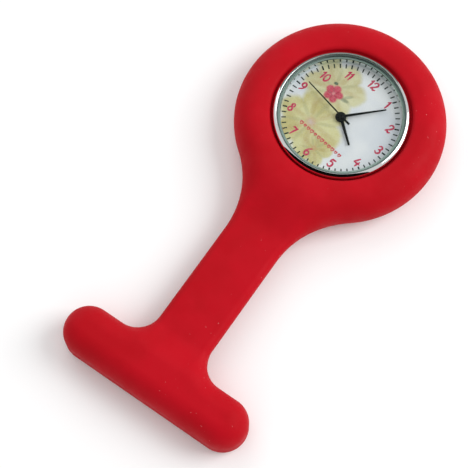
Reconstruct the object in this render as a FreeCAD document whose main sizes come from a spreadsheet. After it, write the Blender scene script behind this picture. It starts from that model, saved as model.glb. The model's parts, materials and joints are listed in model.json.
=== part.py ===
"""Silicone fob watch: a watch head with a quartz movement, held in a moulded sleeve with a brooch pin.

Units are millimetres. The watch lies on its back: +Z points out of the dial, +Y runs along the strap
towards the watch head, and the origin is on the supporting surface, under the middle of the outline.
The head is drawn about its own axis, with 3 o'clock on +X and 12 o'clock on +Y, and then put in place.
"""
import FreeCAD, Part
import math
import os
import re

import Sketcher
from FreeCAD import Placement, Rotation, Vector

doc = FreeCAD.newDocument("fob_watch")

# ---------------------------------------------------------------- driving dimensions
SIZES = {
    # sleeve
    "overall_length": 87.5, "pod_radius": 20.75, "sleeve_thickness": 9.0,
    "pod_front_round": 4.6, "pod_back_round": 4.2,
    "pocket_radius": 13.45, "lip_top": 8.6, "lip_width": 1.1, "back_lip": 1.2, "back_hole_radius": 10.8,
    "strap_width": 11.8, "strap_thickness": 3.4, "strap_low": 2.9, "strap_round": 1.2,
    "neck_round": 18.8, "neck_bite": 0.1, "neck_half_width": 12.8,
    "bar_length": 39.9, "bar_width": 9.7, "bar_height": 8.4, "bar_corner": 4.8,
    "bar_front_round": 4.0, "bar_back_round": 1.3, "bar_root_round": 5.0,
    "slot_length": 30.8, "slot_width": 5.2, "slot_depth": 3.15,
    "plate_pocket_length": 33.6, "plate_pocket_width": 4.6, "plate_pocket_low": 2.55,
    # brooch pin
    "pin_height": 1.3, "plate_length": 33.2, "plate_width": 4.4, "plate_low": 2.6, "plate_thickness": 0.5,
    "plate_corner": 1.2,
    "hinge_place": 14.2, "eye_radius": 0.8, "eye_width": 1.5, "ear_thickness": 0.45, "ear_gap": 0.05,
    "ear_radius": 0.7, "rivet_radius": 0.3, "rivet_head": 0.5, "rivet_head_height": 0.2, "rivet_play": 0.02,
    "needle_radius": 0.45, "needle_root": 13.6, "needle_shoulder": 12.4, "needle_end": 14.6,
    "needle_point": 0.06,
    "hook_low": 12.9, "hook_length": 1.9, "hook_flange": 0.2, "hook_inner": 0.5, "hook_outer": 0.85,
    "hook_flange_radius": 1.1, "hook_post": 0.7,
    "collar_inner": 0.9, "collar_outer": 1.15, "collar_gap": 0.03, "collar_start": 126.0,
    "collar_sweep": 100.0, "thumb_radius": 1.6, "thumb_start": 165.0, "thumb_sweep": 22.0,
    # watch case
    "head_turn": 8.4, "case_radius": 13.3, "case_low": 1.75, "case_top": 7.05,
    "case_bore": 11.5, "rim_bore": 11.7, "rim_depth": 3.0, "dial_seat_radius": 12.2, "dial_seat": 5.9,
    "case_edge_round": 0.4,
    "boss_inner": 9.9, "boss_outer": 11.6, "boss_half_width": 2.6, "boss_low": 3.1,
    "recess_floor": 11.3, "recess_radius": 1.3,
    "back_radius": 12.3, "back_low": 1.2, "back_thickness": 0.45, "rim_outer": 11.65, "rim_inner": 11.2,
    "rim_top": 2.6, "back_edge_round": 0.15,
    "back_gasket_low": 2.62, "back_gasket_top": 2.98, "back_gasket_inner": 11.25,
    "bezel_top": 8.75, "bezel_inner": 12.5, "bezel_outer_round": 0.5, "bezel_inner_round": 0.2,
    "crystal_radius": 12.28, "crystal_low": 8.05, "crystal_thickness": 0.6, "crystal_chamfer": 0.15,
    "gasket_outer": 12.48, "gasket_inner": 12.3, "gasket_top": 8.5,
    "rehaut_inner": 11.75, "rehaut_outer": 12.15, "rehaut_flange": 12.46, "rehaut_step": 7.7,
    "rehaut_top": 8.01,
    # crown and stem, measured along the stem from the head's axis
    "stem_height": 4.6, "crown_low": 11.5, "crown_length": 1.2, "crown_radius": 1.22,
    "crown_cavity": 0.98, "crown_cavity_end": 12.2, "crown_stem_end": 12.45,
    "crown_grooves": 20, "crown_groove_radius": 0.1, "crown_chamfer": 0.15,
    "tube_outer": 0.7, "tube_inner": 0.48, "tube_end": 12.1,
    "oring_place": 11.65, "oring_middle": 0.84, "oring_section": 0.13,
    "stem_radius": 0.45, "stem_tip": 3.3, "stem_tip_radius": 0.25, "stem_square_low": 3.7,
    "stem_square": 0.56,
    "stem_groove": 6.35, "stem_groove_width": 0.5, "stem_groove_radius": 0.28, "stem_end": 12.4,
    "clutch_low": 4.6, "clutch_length": 1.3, "clutch_radius": 0.85, "clutch_square": 0.62, "clutch_teeth": 10,
    "clutch_groove_low": 0.6, "clutch_groove_width": 0.3, "clutch_groove_radius": 0.6,
    "clutch_notch": 0.14, "clutch_notch_depth": 0.25,
    # dial and hands
    "dial_radius": 12.1, "dial_thickness": 0.4, "dial_hole": 0.95, "foot_radius": 0.35, "foot_length": 0.45,
    "foot_x": 6.6, "foot_y": 6.9,
    "hour_angle": 123.4, "minute_angle": 38.0, "second_angle": 277.0,
    "hour_low": 6.62, "hour_thick": 0.14, "hour_length": 6.1, "hour_hub": 1.08, "hour_root": 0.3,
    "hour_tip": 0.2,
    "minute_low": 6.93, "minute_thick": 0.12, "minute_length": 9.0, "minute_hub": 0.95, "minute_root": 0.27,
    "minute_tip": 0.14,
    "second_low": 7.24, "second_thick": 0.09, "second_length": 9.5, "second_tail": 2.35, "second_hub": 0.62,
    "second_root": 0.13, "second_tip": 0.08, "tail_half_width": 0.24, "second_boss": 0.36,
    "second_boss_low": 7.08,
    # movement frame
    "plate_under": 4.7, "plate_top": 5.88, "frame_x": 7.6, "frame_y": 9.0, "frame_round": 3.5,
    "works_floor": 5.2, "works_radius": 2.35, "idler_recess": 2.15, "centre_hole": 0.52,
    "stem_channel": 0.52, "stem_channel_top": 5.12, "stem_channel_low": 3.0,
    "clutch_room_low": 4.5, "clutch_room_high": 6.0, "clutch_room": 0.95,
    "lever_room_left": 6.1, "lever_room_right": 7.4, "lever_room_far": 2.85, "lever_room_near": -0.65,
    "yoke_room_left": 4.3, "yoke_room_far": 3.5, "yoke_room_floor": 5.46,
    "coil_room_x": 4.75, "coil_room_low": 6.5, "coil_room_high": 8.85, "coil_room_top": 5.6,
    "bridge_under": 2.85, "bridge_thick": 0.3, "bridge_half_width": 7.3, "bridge_near": -2.7,
    "bridge_far": 5.4, "bridge_round": 0.9,
    "pillar_radius": 0.7, "screw_radius": 0.3, "screw_head": 0.55, "screw_head_height": 0.2,
    "screw_slot": 0.16, "screw_slot_depth": 0.1, "screw_play": 0.02, "screw_top": 5.0,
    "far_screw_x": 6.5, "far_screw_y": 4.6, "left_screw_x": -5.9, "left_screw_y": -1.1,
    "right_screw_x": 5.9, "right_screw_y": -1.9,
    "ring_radius": 11.4, "ring_low": 3.1, "ring_gap": 0.1, "leg_place": 10.3, "leg_radius": 0.6,
    "leg_low": 1.68, "ring_slot": 2.8,
    # going train
    "centre_mesh": 3.06, "third_bearing": 160.0, "fifth_mesh": 3.15, "fifth_bearing": 70.0,
    "rotor_mesh": 2.4, "rotor_bearing": 60.0, "idler_mesh": 2.4,
    "train_module": 0.09, "centre_module": 0.085, "rotor_module": 0.1, "works_module": 0.12,
    "rotor_teeth": 8, "fifth_teeth": 40, "fifth_pinion": 10, "fourth_teeth": 60, "fourth_pinion": 8,
    "third_teeth": 60, "third_pinion": 8, "centre_teeth": 64, "cannon_teeth": 10, "idler_teeth": 30,
    "idler_pinion": 8, "hour_teeth": 32,
    "arbor_radius": 0.18, "arbor_low": 3.2, "arbor_top": 4.65, "pivot_radius": 0.12, "pivot_low": 2.95,
    "pivot_top": 4.9, "pivot_play": 0.02, "wheel_thick": 0.15,
    "seconds_arbor": 0.2, "seconds_arbor_top": 7.3, "fourth_low": 3.35, "fourth_pinion_low": 3.7,
    "fourth_pinion_top": 4.15, "fifth_low": 3.6, "fifth_pinion_low": 3.3, "rotor_low": 3.55, "rotor_top": 3.8,
    "third_low": 3.85, "third_pinion_low": 4.2, "centre_low": 4.35, "cannon_low": 5.25,
    "cannon_teeth_top": 5.5,
    "cannon_top": 7.05, "cannon_outer": 0.47, "cannon_inner": 0.24,
    "idler_low": 5.3, "idler_pinion_top": 5.85, "hour_wheel_low": 5.55, "hour_wheel_thick": 0.2,
    "hour_pipe_outer": 0.75, "hour_pipe_inner": 0.52, "hour_pipe_top": 6.85,
    "stud_radius": 0.25, "stud_play": 0.02, "stud_top": 5.8,
    "magnet_radius": 0.7, "magnet_low": 3.85, "magnet_top": 4.35,
    # motor and electronics
    "stator_low": 3.9, "stator_thick": 0.4, "stator_half": 5.6, "stator_front": 4.2, "stator_back": 6.3,
    "stator_leg": 1.0, "stator_leg_end": 8.3, "stator_hole": 0.95,
    "coil_y": 7.7, "coil_height": 4.5, "core_half": 5.5, "core_width": 1.1, "core_low": 4.31,
    "core_thick": 0.38, "coil_half": 4.4, "coil_radius": 0.9, "coil_flange": 1.0, "coil_flange_thick": 0.2,
    "core_play": 0.02,
    "battery_radius": 3.4, "battery_height": 2.6, "battery_x": -3.4, "battery_y": -5.6, "battery_low": 2.75,
    "battery_room": 3.5, "battery_room_top": 5.4, "battery_cap_radius": 2.9, "battery_cap_height": 0.35,
    "board_low": 3.2, "board_thick": 0.2, "board_left": 0.7, "board_right": 7.1, "board_near": -8.3,
    "board_far": -3.2, "board_corner": 1.6, "board_screw_x": 5.9, "board_screw_y": -4.2,
    "can_radius": 0.58, "can_length": 4.4, "can_left": 1.5, "can_y": -7.1, "can_height": 4.02,
    "chip_x": 1.9, "chip_y": -5.6, "chip_side": 1.7, "chip_height": 0.55,
    "clip_thick": 0.12, "clip_width": 1.8, "clip_left": -7.02, "clip_right": 0.22, "clip_low": 2.6,
    # setting works
    "lever_pivot_x": 6.6, "lever_pivot_y": 2.2, "lever_low": 5.15, "lever_thick": 0.18,
    "lever_half_width": 0.33, "lever_pin_radius": 0.19, "lever_pin_low": 4.93, "lever_stud_top": 5.6,
    "yoke_low": 5.5, "yoke_thick": 0.15, "yoke_pivot_x": 4.9, "yoke_pivot_y": 2.9, "yoke_half_width": 0.3,
    "yoke_tongue_low": 5.26, "yoke_tongue_width": 0.2, "yoke_stud_top": 5.75,
}

sheet = doc.addObject("Spreadsheet::Sheet", "sizes")
for row, (alias, size) in enumerate(SIZES.items(), start=1):
    sheet.set(f"A{row}", alias)
    sheet.set(f"B{row}", str(size))
    sheet.setAlias(f"B{row}", alias)
doc.recompute()

# ---------------------------------------------------------------- places, as formulas of the cells
POD_Y = "(overall_length / 2 - pod_radius)"
BAR_Y = "(bar_width / 2 - overall_length / 2)"
CENTRE = ("0", "0")
THIRD = ("(centre_mesh * cos(third_bearing))", "(centre_mesh * sin(third_bearing))")
FIFTH = ("(fifth_mesh * cos(fifth_bearing))", "(fifth_mesh * sin(fifth_bearing))")
ROTOR = (f"({FIFTH[0]} + rotor_mesh * cos(rotor_bearing))", f"({FIFTH[1]} + rotor_mesh * sin(rotor_bearing))")
IDLER = ("idler_mesh", "0")
BRIDGE_SCREWS = [("far_screw_x", "far_screw_y"), ("-far_screw_x", "far_screw_y"),
                 ("left_screw_x", "left_screw_y"), ("right_screw_x", "right_screw_y")]
BOARD_SCREW = ("board_screw_x", "board_screw_y")
OVERCUT = "0.5"
CELL_NAME = re.compile(r"[a-z][a-z_]+")

nodes = []


def formula(text):
    """The text as an expression, with each alias turned into a reference to its cell."""
    return CELL_NAME.sub(lambda word: "sizes." + word.group() if word.group() in SIZES else word.group(),
                         str(text))


def value(text):
    """The number a formula gives."""
    return float(sheet.evalExpression(formula(text)))


def bind(thing, **settings):
    """Ties properties to formulas; a double underscore in a name stands for a dot."""
    for name, text in settings.items():
        thing.setExpression(name.replace("__", "."), formula(text))


def new_body(label, keep=True):
    """An empty body, kept as a node of the assembly unless it is only a step towards one."""
    body = doc.addObject("PartDesign::Body", label)
    body.Label = label
    body.AllowCompound = True
    if keep:
        nodes.append(body)
    return body


def seat(thing, x="0", y="0", z="0", turn="0", in_head=True):
    """Puts a piece at x, y, z of the head's frame, or of the row frame, turned about +Z."""
    lean = "head_turn" if in_head else "0"
    home = POD_Y if in_head else "0"
    thing.Placement = Placement(Vector(0, 0, 0), Rotation(Vector(0, 0, 1), 30))
    bind(thing, Placement__Base__x=f"cos({lean}) * ({x}) + sin({lean}) * ({y})",
         Placement__Base__y=f"{home} - sin({lean}) * ({x}) + cos({lean}) * ({y})",
         Placement__Base__z=z, Placement__Rotation__Angle=f"({turn}) - {lean}")


def hold(body, feature, role, across, up, low):
    """Fixes a feature to one of its body's planes, at two distances in the plane and one along its normal."""
    feature.AttachmentSupport = (next(item for item in body.Origin.OriginFeatures if item.Role == role), [""])
    feature.MapMode = "FlatFace"
    bind(feature, AttachmentOffset__Base__x=across, AttachmentOffset__Base__y=up,
         AttachmentOffset__Base__z=low)


def finish_step(body, feature, cut):
    """Recomputes and makes sure that the step changed the body in the right direction."""
    before = 0.0 if body.Shape.isNull() else body.Shape.Volume
    doc.recompute()
    gained = body.Shape.Volume - before
    if (gained >= 0) == cut:
        raise ValueError(f"{body.Label}: {feature.Name} did not change the solid as meant ({gained:.5f})")
    return feature


def rod(body, axis, radius, low, length, across=CENTRE, cut=False, start="0", sweep=None):
    """A cylinder, or part of one, along an axis; across gives the other two coordinates in order."""
    kind = "Subtractive" if cut else "Additive"
    feature = body.newObject(f"PartDesign::{kind}Cylinder", "rod")
    role, drop = {"X": ("YZ_Plane", low), "Y": ("XZ_Plane", f"-({low}) - ({length})"),
                  "Z": ("XY_Plane", low)}[axis]
    if sweep is not None:
        feature.AttachmentOffset = Placement(Vector(0, 0, 0), Rotation(Vector(0, 0, 1), 30))
        bind(feature, Angle=sweep, AttachmentOffset__Rotation__Angle=start)
    hold(body, feature, role, across[0], across[1], drop)
    bind(feature, Radius=radius, Height=length)
    return finish_step(body, feature, cut)


def block(body, low, size, cut=False):
    """A box given by its low corner and its size."""
    kind = "Subtractive" if cut else "Additive"
    feature = body.newObject(f"PartDesign::{kind}Box", "block")
    hold(body, feature, "XY_Plane", *low)
    bind(feature, Length=size[0], Width=size[1], Height=size[2])
    return finish_step(body, feature, cut)


def outline(body, role, corners, low="0"):
    """A closed sketch with straight sides, each corner set by two formulas."""
    sketch = body.newObject("Sketcher::SketchObject", "outline")
    hold(body, sketch, role, "0", "0", low)
    spots = [Vector(value(x), value(y), 0) for x, y in corners]
    count = len(spots)
    for index, spot in enumerate(spots):
        sketch.addGeometry(Part.LineSegment(spot, spots[(index + 1) % count]))
    for index in range(count):
        sketch.addConstraint(Sketcher.Constraint("Coincident", index, 2, (index + 1) % count, 1))
    for index, corner in enumerate(corners):
        for direction, text in zip(("DistanceX", "DistanceY"), corner):
            number = sketch.addConstraint(Sketcher.Constraint(direction, -1, 1, index, 1, value(text)))
            sketch.setExpression(f"Constraints[{number}]", formula(text))
    return sketch


def lathe(body, corners, cut=False):
    """A closed profile of radius and height, turned about the body's Z axis."""
    sketch = outline(body, "XZ_Plane", corners)
    feature = body.newObject("PartDesign::Groove" if cut else "PartDesign::Revolution", "turned")
    feature.Profile = sketch
    feature.ReferenceAxis = (sketch, ["V_Axis"])
    feature.Angle = 360
    sketch.Visibility = False
    return finish_step(body, feature, cut)


def slab(body, corners, low, thickness):
    """A flat piece with straight sides, seen along Z."""
    sketch = outline(body, "XY_Plane", corners, low)
    feature = body.newObject("PartDesign::Pad", "slab")
    feature.Profile = sketch
    bind(feature, Length=thickness)
    sketch.Visibility = False
    return finish_step(body, feature, False)


def edges_where(shape, test):
    """The names of the edges whose middle point passes the test."""
    names = []
    for index, edge in enumerate(shape.Edges, start=1):
        middle = edge.valueAt((edge.FirstParameter + edge.LastParameter) / 2)
        if test(edge, middle):
            names.append(f"Edge{index}")
    return names


def ease(body, size, test, kind="Fillet"):
    """Rounds or chamfers the chosen edges of a body."""
    doc.recompute()
    names = edges_where(body.Shape, test)
    feature = body.newObject(f"PartDesign::{kind}", kind.lower())
    feature.Base = (body.Tip if body.Tip != feature else feature.BaseFeature, names)
    bind(feature, **{"Radius" if kind == "Fillet" else "Size": size})
    doc.recompute()
    return feature


def around(body, feature, role, count):
    """Repeats a cut round one of the body's axes."""
    pattern = body.newObject("PartDesign::PolarPattern", "pattern")
    pattern.Originals = [feature]
    pattern.Axis = (next(item for item in body.Origin.OriginFeatures if item.Role == role), [""])
    pattern.Angle = 360
    bind(pattern, Occurrences=count)
    body.Tip = pattern
    return finish_step(body, pattern, True)


def at_height(height):
    """A test for edges whose middle lies at a height given by a formula."""
    return lambda edge, middle: abs(middle.z - value(height)) < 1e-4


def circle_at(height, radius):
    """A test for the circle of a given height and radius about the body's Z axis."""
    return lambda edge, middle: (abs(middle.z - value(height)) < 1e-4
                                 and abs(math.hypot(middle.x, middle.y) - value(radius)) < 1e-3)


def is_upright(edge, middle):
    """A test for straight edges along Z."""
    ends = [vertex.Point for vertex in edge.Vertexes]
    return len(ends) == 2 and abs(ends[0].x - ends[1].x) < 1e-6 and abs(ends[0].y - ends[1].y) < 1e-6


# ---------------------------------------------------------------- sleeve
def build_sleeve():
    """The moulding: a round pod, a flat strap and a T-bar, with the cuts for the head and the pin plate."""
    pod = new_body("pod_blank", keep=False)
    rod(pod, "Z", "pod_radius", "0", "sleeve_thickness")
    ease(pod, "pod_front_round", at_height("sleeve_thickness"))
    ease(pod, "pod_back_round", at_height("0"))
    seat(pod, y=POD_Y, in_head=False)

    strap = new_body("strap_blank", keep=False)
    neck_x = "(strap_width / 2 + neck_round)"
    neck_y = f"({POD_Y} - sqrt(pow(pod_radius - neck_bite + neck_round; 2) - pow({neck_x}; 2)))"
    root_x = "(strap_width / 2 + bar_root_round)"
    root_y = f"({BAR_Y} + bar_width / 2 - neck_bite + bar_root_round)"
    end_y = f"({POD_Y} - pocket_radius)"
    level = ("strap_low", "strap_thickness")
    block(strap, ("-strap_width / 2", BAR_Y, level[0]), ("strap_width", f"{end_y} - {BAR_Y}", level[1]))
    block(strap, ("-neck_half_width", neck_y, level[0]),
          ("2 * neck_half_width", f"{end_y} - {neck_y}", level[1]))
    block(strap, (f"-{root_x}", BAR_Y, level[0]), (f"2 * {root_x}", f"{root_y} - {BAR_Y}", level[1]))
    for side in ("", "-"):
        rod(strap, "Z", "neck_round", f"strap_low - {OVERCUT}", f"strap_thickness + 2 * {OVERCUT}",
            across=(f"{side}{neck_x}", neck_y), cut=True)
        rod(strap, "Z", "bar_root_round", f"strap_low - {OVERCUT}", f"strap_thickness + 2 * {OVERCUT}",
            across=(f"{side}{root_x}", root_y), cut=True)
    inner_ends = (value(end_y), value(BAR_Y))

    def runs_along_side(edge, middle):
        """A test for the strap's long edges, straight or curved, and not its hidden ends."""
        flat = abs(edge.Vertexes[0].Z - edge.Vertexes[-1].Z) < 1e-6
        hidden = any(abs(middle.y - end) < 1e-4 for end in inner_ends)
        hidden = hidden or abs(middle.x) > value("neck_half_width") - 1e-4
        buried = abs(abs(middle.x) - value(root_x)) < 1e-4
        return flat and not hidden and not buried and abs(middle.x) > 1.0
    ease(strap, "strap_round", runs_along_side)
    seat(strap, in_head=False)

    bar = new_body("bar_blank", keep=False)
    block(bar, ("-bar_length / 2", "-bar_width / 2", "0"), ("bar_length", "bar_width", "bar_height"))
    ease(bar, "bar_corner", is_upright)
    ease(bar, "bar_front_round", at_height("bar_height"))
    ease(bar, "bar_back_round", at_height("0"))
    seat(bar, y=BAR_Y, in_head=False)

    room = new_body("head_room", keep=False)
    lip_end = f"sleeve_thickness + {OVERCUT}"
    lathe(room, [("0", "back_lip"), ("pocket_radius", "back_lip"), ("pocket_radius", "lip_top - 0.15"),
                 ("pocket_radius + 0.08 * lip_width", "lip_top"),
                 ("pocket_radius + 0.35 * lip_width", "lip_top + 0.6 * (sleeve_thickness - lip_top)"),
                 ("pocket_radius + lip_width", "sleeve_thickness"),
                 ("pocket_radius + lip_width", lip_end), ("0", lip_end)])
    rod(room, "Z", "back_hole_radius", f"-{OVERCUT}", f"back_lip + 2 * {OVERCUT}")
    seat(room, y=POD_Y, in_head=False)

    slot = new_body("pin_room", keep=False)
    block(slot, ("-slot_length / 2", "-slot_width / 2", f"-{OVERCUT}"),
          ("slot_length", "slot_width", f"slot_depth + {OVERCUT}"))
    block(slot, ("-plate_pocket_length / 2", "-plate_pocket_width / 2", "plate_pocket_low"),
          ("plate_pocket_length", "plate_pocket_width", "slot_depth - plate_pocket_low"))
    seat(slot, y=BAR_Y, in_head=False)

    moulding = doc.addObject("Part::MultiFuse", "moulding")
    moulding.Shapes = [pod, strap, bar]
    rooms = doc.addObject("Part::MultiFuse", "rooms")
    rooms.Shapes = [room, slot]
    sleeve = doc.addObject("Part::Cut", "silicone_sleeve")
    sleeve.Base = moulding
    sleeve.Tool = rooms
    sleeve.Label = "silicone_sleeve"
    nodes.append(sleeve)
    doc.recompute()


# ---------------------------------------------------------------- brooch pin
def build_brooch():
    """The pin plate with its hinge ears and hook, the rivet, the needle and the turning catch."""
    plate = new_body("pin_plate")
    block(plate, ("-plate_length / 2", "-plate_width / 2", "plate_low"),
          ("plate_length", "plate_width", "plate_thickness"))
    ease(plate, "plate_corner", is_upright)
    ear_inner = "(eye_width / 2 + ear_gap)"
    for low in (ear_inner, f"-{ear_inner} - ear_thickness"):
        block(plate, ("-hinge_place - ear_radius", low, "pin_height"),
              ("2 * ear_radius", "ear_thickness", "plate_low - pin_height"))
        rod(plate, "Y", "ear_radius", low, "ear_thickness", across=("-hinge_place", "pin_height"))
    reach = f"({ear_inner} + ear_thickness)"
    rod(plate, "Y", "rivet_radius", f"-{reach} - {OVERCUT}", f"2 * {reach} + 2 * {OVERCUT}",
        across=("-hinge_place", "pin_height"), cut=True)
    block(plate, ("hook_low", "-hook_post / 2", "pin_height"),
          ("hook_length", "hook_post", "plate_low - pin_height"))
    rod(plate, "X", "hook_outer", "hook_low", "hook_length", across=("0", "pin_height"))
    for low in ("hook_low", "hook_low + hook_length - hook_flange"):
        rod(plate, "X", "hook_flange_radius", low, "hook_flange", across=("0", "pin_height"))
    rod(plate, "X", "hook_inner", f"hook_low - {OVERCUT}", f"hook_length + 2 * {OVERCUT}",
        across=("0", "pin_height"), cut=True)
    block(plate, (f"hook_low - {OVERCUT}", "-hook_inner", "0"),
          (f"hook_length + 2 * {OVERCUT}", "2 * hook_inner", "pin_height"), cut=True)

    rivet = new_body("hinge_rivet")
    rod(rivet, "Y", "rivet_radius", f"-{reach}", f"2 * {reach}", across=("-hinge_place", "pin_height"))
    for low in (reach, f"-{reach} - rivet_head_height"):
        rod(rivet, "Y", "rivet_head", low, "rivet_head_height", across=("-hinge_place", "pin_height"))

    needle = new_body("brooch_needle")
    rod(needle, "Y", "eye_radius", "-eye_width / 2", "eye_width", across=("-hinge_place", "pin_height"))
    rod(needle, "X", "needle_radius", "-needle_root", "needle_root + needle_shoulder",
        across=("0", "pin_height"))
    point = needle.newObject("PartDesign::AdditiveCone", "point")
    hold(needle, point, "YZ_Plane", "0", "pin_height", "needle_shoulder")
    bind(point, Radius1="needle_radius", Radius2="needle_point", Height="needle_end - needle_shoulder")
    finish_step(needle, point, False)
    rod(needle, "Y", "rivet_radius + rivet_play", "-eye_width", "2 * eye_width",
        across=("-hinge_place", "pin_height"), cut=True)

    catch = new_body("safety_catch")
    low = "(hook_low + hook_flange + collar_gap)"
    length = "(hook_length - 2 * hook_flange - 2 * collar_gap)"
    rod(catch, "X", "collar_outer", low, length, across=("0", "pin_height"), start="collar_start",
        sweep="collar_sweep")
    rod(catch, "X", "thumb_radius", low, length, across=("0", "pin_height"), start="thumb_start",
        sweep="thumb_sweep")
    rod(catch, "X", "collar_inner", f"{low} - {OVERCUT}", f"{length} + 2 * {OVERCUT}",
        across=("0", "pin_height"), cut=True)
    for body in (plate, rivet, needle, catch):
        seat(body, y=BAR_Y, in_head=False)


# ---------------------------------------------------------------- case
def build_case():
    """The turned case parts, the crystal and their seals."""
    case = new_body("case_body")
    lathe(case, [("rim_bore", "case_low"), ("case_radius", "case_low"), ("case_radius", "case_top"),
                 ("dial_seat_radius", "case_top"), ("dial_seat_radius", "dial_seat"),
                 ("case_bore", "dial_seat"),
                 ("case_bore", "rim_depth"), ("rim_bore", "rim_depth")])
    ease(case, "case_edge_round", circle_at("case_low", "case_radius"))
    block(case, ("boss_inner", "-boss_half_width", "boss_low"),
          ("boss_outer - boss_inner", "2 * boss_half_width", "dial_seat - boss_low"))
    rod(case, "X", "recess_radius", "recess_floor", "case_radius - recess_floor + 0.2",
        across=("0", "stem_height"),
        cut=True)
    rod(case, "X", "tube_outer", "boss_inner - 0.2", "recess_floor - boss_inner + 0.3",
        across=("0", "stem_height"),
        cut=True)

    back = new_body("case_back")
    back_top = "(back_low + back_thickness)"
    rod(back, "Z", "back_radius", "back_low", "back_thickness")
    ease(back, "back_edge_round", at_height("back_low"))
    lathe(back, [("rim_inner", f"{back_top} - 0.1"), ("rim_outer", f"{back_top} - 0.1"),
                 ("rim_outer", "rim_top"),
                 ("rim_inner", "rim_top")])

    back_seal = new_body("case_back_gasket")
    lathe(back_seal, [("back_gasket_inner", "back_gasket_low"), ("rim_outer", "back_gasket_low"),
                      ("rim_outer", "back_gasket_top"), ("back_gasket_inner", "back_gasket_top")])

    bezel = new_body("bezel_ring")
    lathe(bezel, [("bezel_inner", "case_top"), ("case_radius", "case_top"), ("case_radius", "bezel_top"),
                  ("bezel_inner", "bezel_top")])
    for size, radius in (("bezel_outer_round", "case_radius"), ("bezel_inner_round", "bezel_inner")):
        ease(bezel, size, circle_at("bezel_top", radius))

    crystal = new_body("crystal")
    rod(crystal, "Z", "crystal_radius", "crystal_low", "crystal_thickness")
    ease(crystal, "crystal_chamfer", at_height("crystal_low + crystal_thickness"), kind="Chamfer")

    seal = new_body("crystal_gasket")
    lathe(seal, [("gasket_inner", "crystal_low"), ("gasket_outer", "crystal_low"),
                 ("gasket_outer", "gasket_top"),
                 ("gasket_inner", "gasket_top")])

    rehaut = new_body("rehaut_ring")
    dial_top = "(dial_seat + dial_thickness)"
    lathe(rehaut, [("rehaut_inner", dial_top), ("rehaut_outer", dial_top), ("rehaut_outer", "rehaut_step"),
                   ("rehaut_flange", "rehaut_step"), ("rehaut_flange", "rehaut_top"),
                   ("rehaut_inner", "rehaut_top")])
    for body in (case, back, back_seal, bezel, crystal, seal, rehaut):
        seat(body)


# ---------------------------------------------------------------- crown, stem and clutch
def build_crown():
    """The parts on the stem's axis, drawn with that axis on the body's X axis."""
    tube = new_body("crown_tube")
    rod(tube, "X", "tube_outer", "boss_inner", "tube_end - boss_inner")
    rod(tube, "X", "tube_inner", "boss_inner - 0.1", "tube_end - boss_inner + 0.2", cut=True)

    crown = new_body("crown")
    rod(crown, "X", "crown_radius", "crown_low", "crown_length")
    crown_end = value("crown_low + crown_length")
    ease(crown, "crown_chamfer", lambda edge, middle: abs(middle.x - crown_end) < 1e-4, kind="Chamfer")
    rod(crown, "X", "crown_cavity", "crown_low - 0.1", "crown_cavity_end - crown_low + 0.1", cut=True)
    rod(crown, "X", "stem_radius", "crown_cavity_end - 0.1", "crown_stem_end - crown_cavity_end + 0.1",
        cut=True)
    groove = rod(crown, "X", "crown_groove_radius", "crown_low - 0.1", "crown_length + 0.2",
                 across=("crown_radius", "0"), cut=True)
    around(crown, groove, "X_Axis", "crown_grooves")

    ring = new_body("crown_o_ring")
    torus = ring.newObject("PartDesign::AdditiveTorus", "ring")
    hold(ring, torus, "YZ_Plane", "0", "0", "oring_place")
    bind(torus, Radius1="oring_middle", Radius2="oring_section")
    finish_step(ring, torus, False)

    stem = new_body("crown_stem")
    rod(stem, "X", "stem_tip_radius", "stem_tip", "stem_square_low - stem_tip + 0.05")
    block(stem, ("stem_square_low", "-stem_square / 2", "-stem_square / 2"),
          ("clutch_low + clutch_length + 0.1 - stem_square_low", "stem_square", "stem_square"))
    rod(stem, "X", "stem_radius", "clutch_low + clutch_length + 0.1",
        "stem_groove - clutch_low - clutch_length - 0.1")
    rod(stem, "X", "stem_groove_radius", "stem_groove - 0.05", "stem_groove_width + 0.1")
    rod(stem, "X", "stem_radius", "stem_groove + stem_groove_width",
        "stem_end - stem_groove - stem_groove_width")

    clutch = new_body("clutch_wheel")
    rod(clutch, "X", "clutch_radius", "clutch_low", "clutch_groove_low")
    rod(clutch, "X", "clutch_groove_radius", "clutch_low + clutch_groove_low - 0.05",
        "clutch_groove_width + 0.1")
    rod(clutch, "X", "clutch_radius", "clutch_low + clutch_groove_low + clutch_groove_width",
        "clutch_length - clutch_groove_low - clutch_groove_width")
    block(clutch, ("clutch_low - 0.1", "-clutch_square / 2", "-clutch_square / 2"),
          ("clutch_length + 0.2", "clutch_square", "clutch_square"), cut=True)
    notch = block(clutch, ("clutch_low - 0.1", "clutch_groove_radius", "-clutch_notch / 2"),
                  ("clutch_notch_depth + 0.1", "clutch_radius", "clutch_notch"), cut=True)
    around(clutch, notch, "X_Axis", "clutch_teeth")
    for body in (tube, crown, ring, stem, clutch):
        seat(body, z="stem_height")


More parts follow.
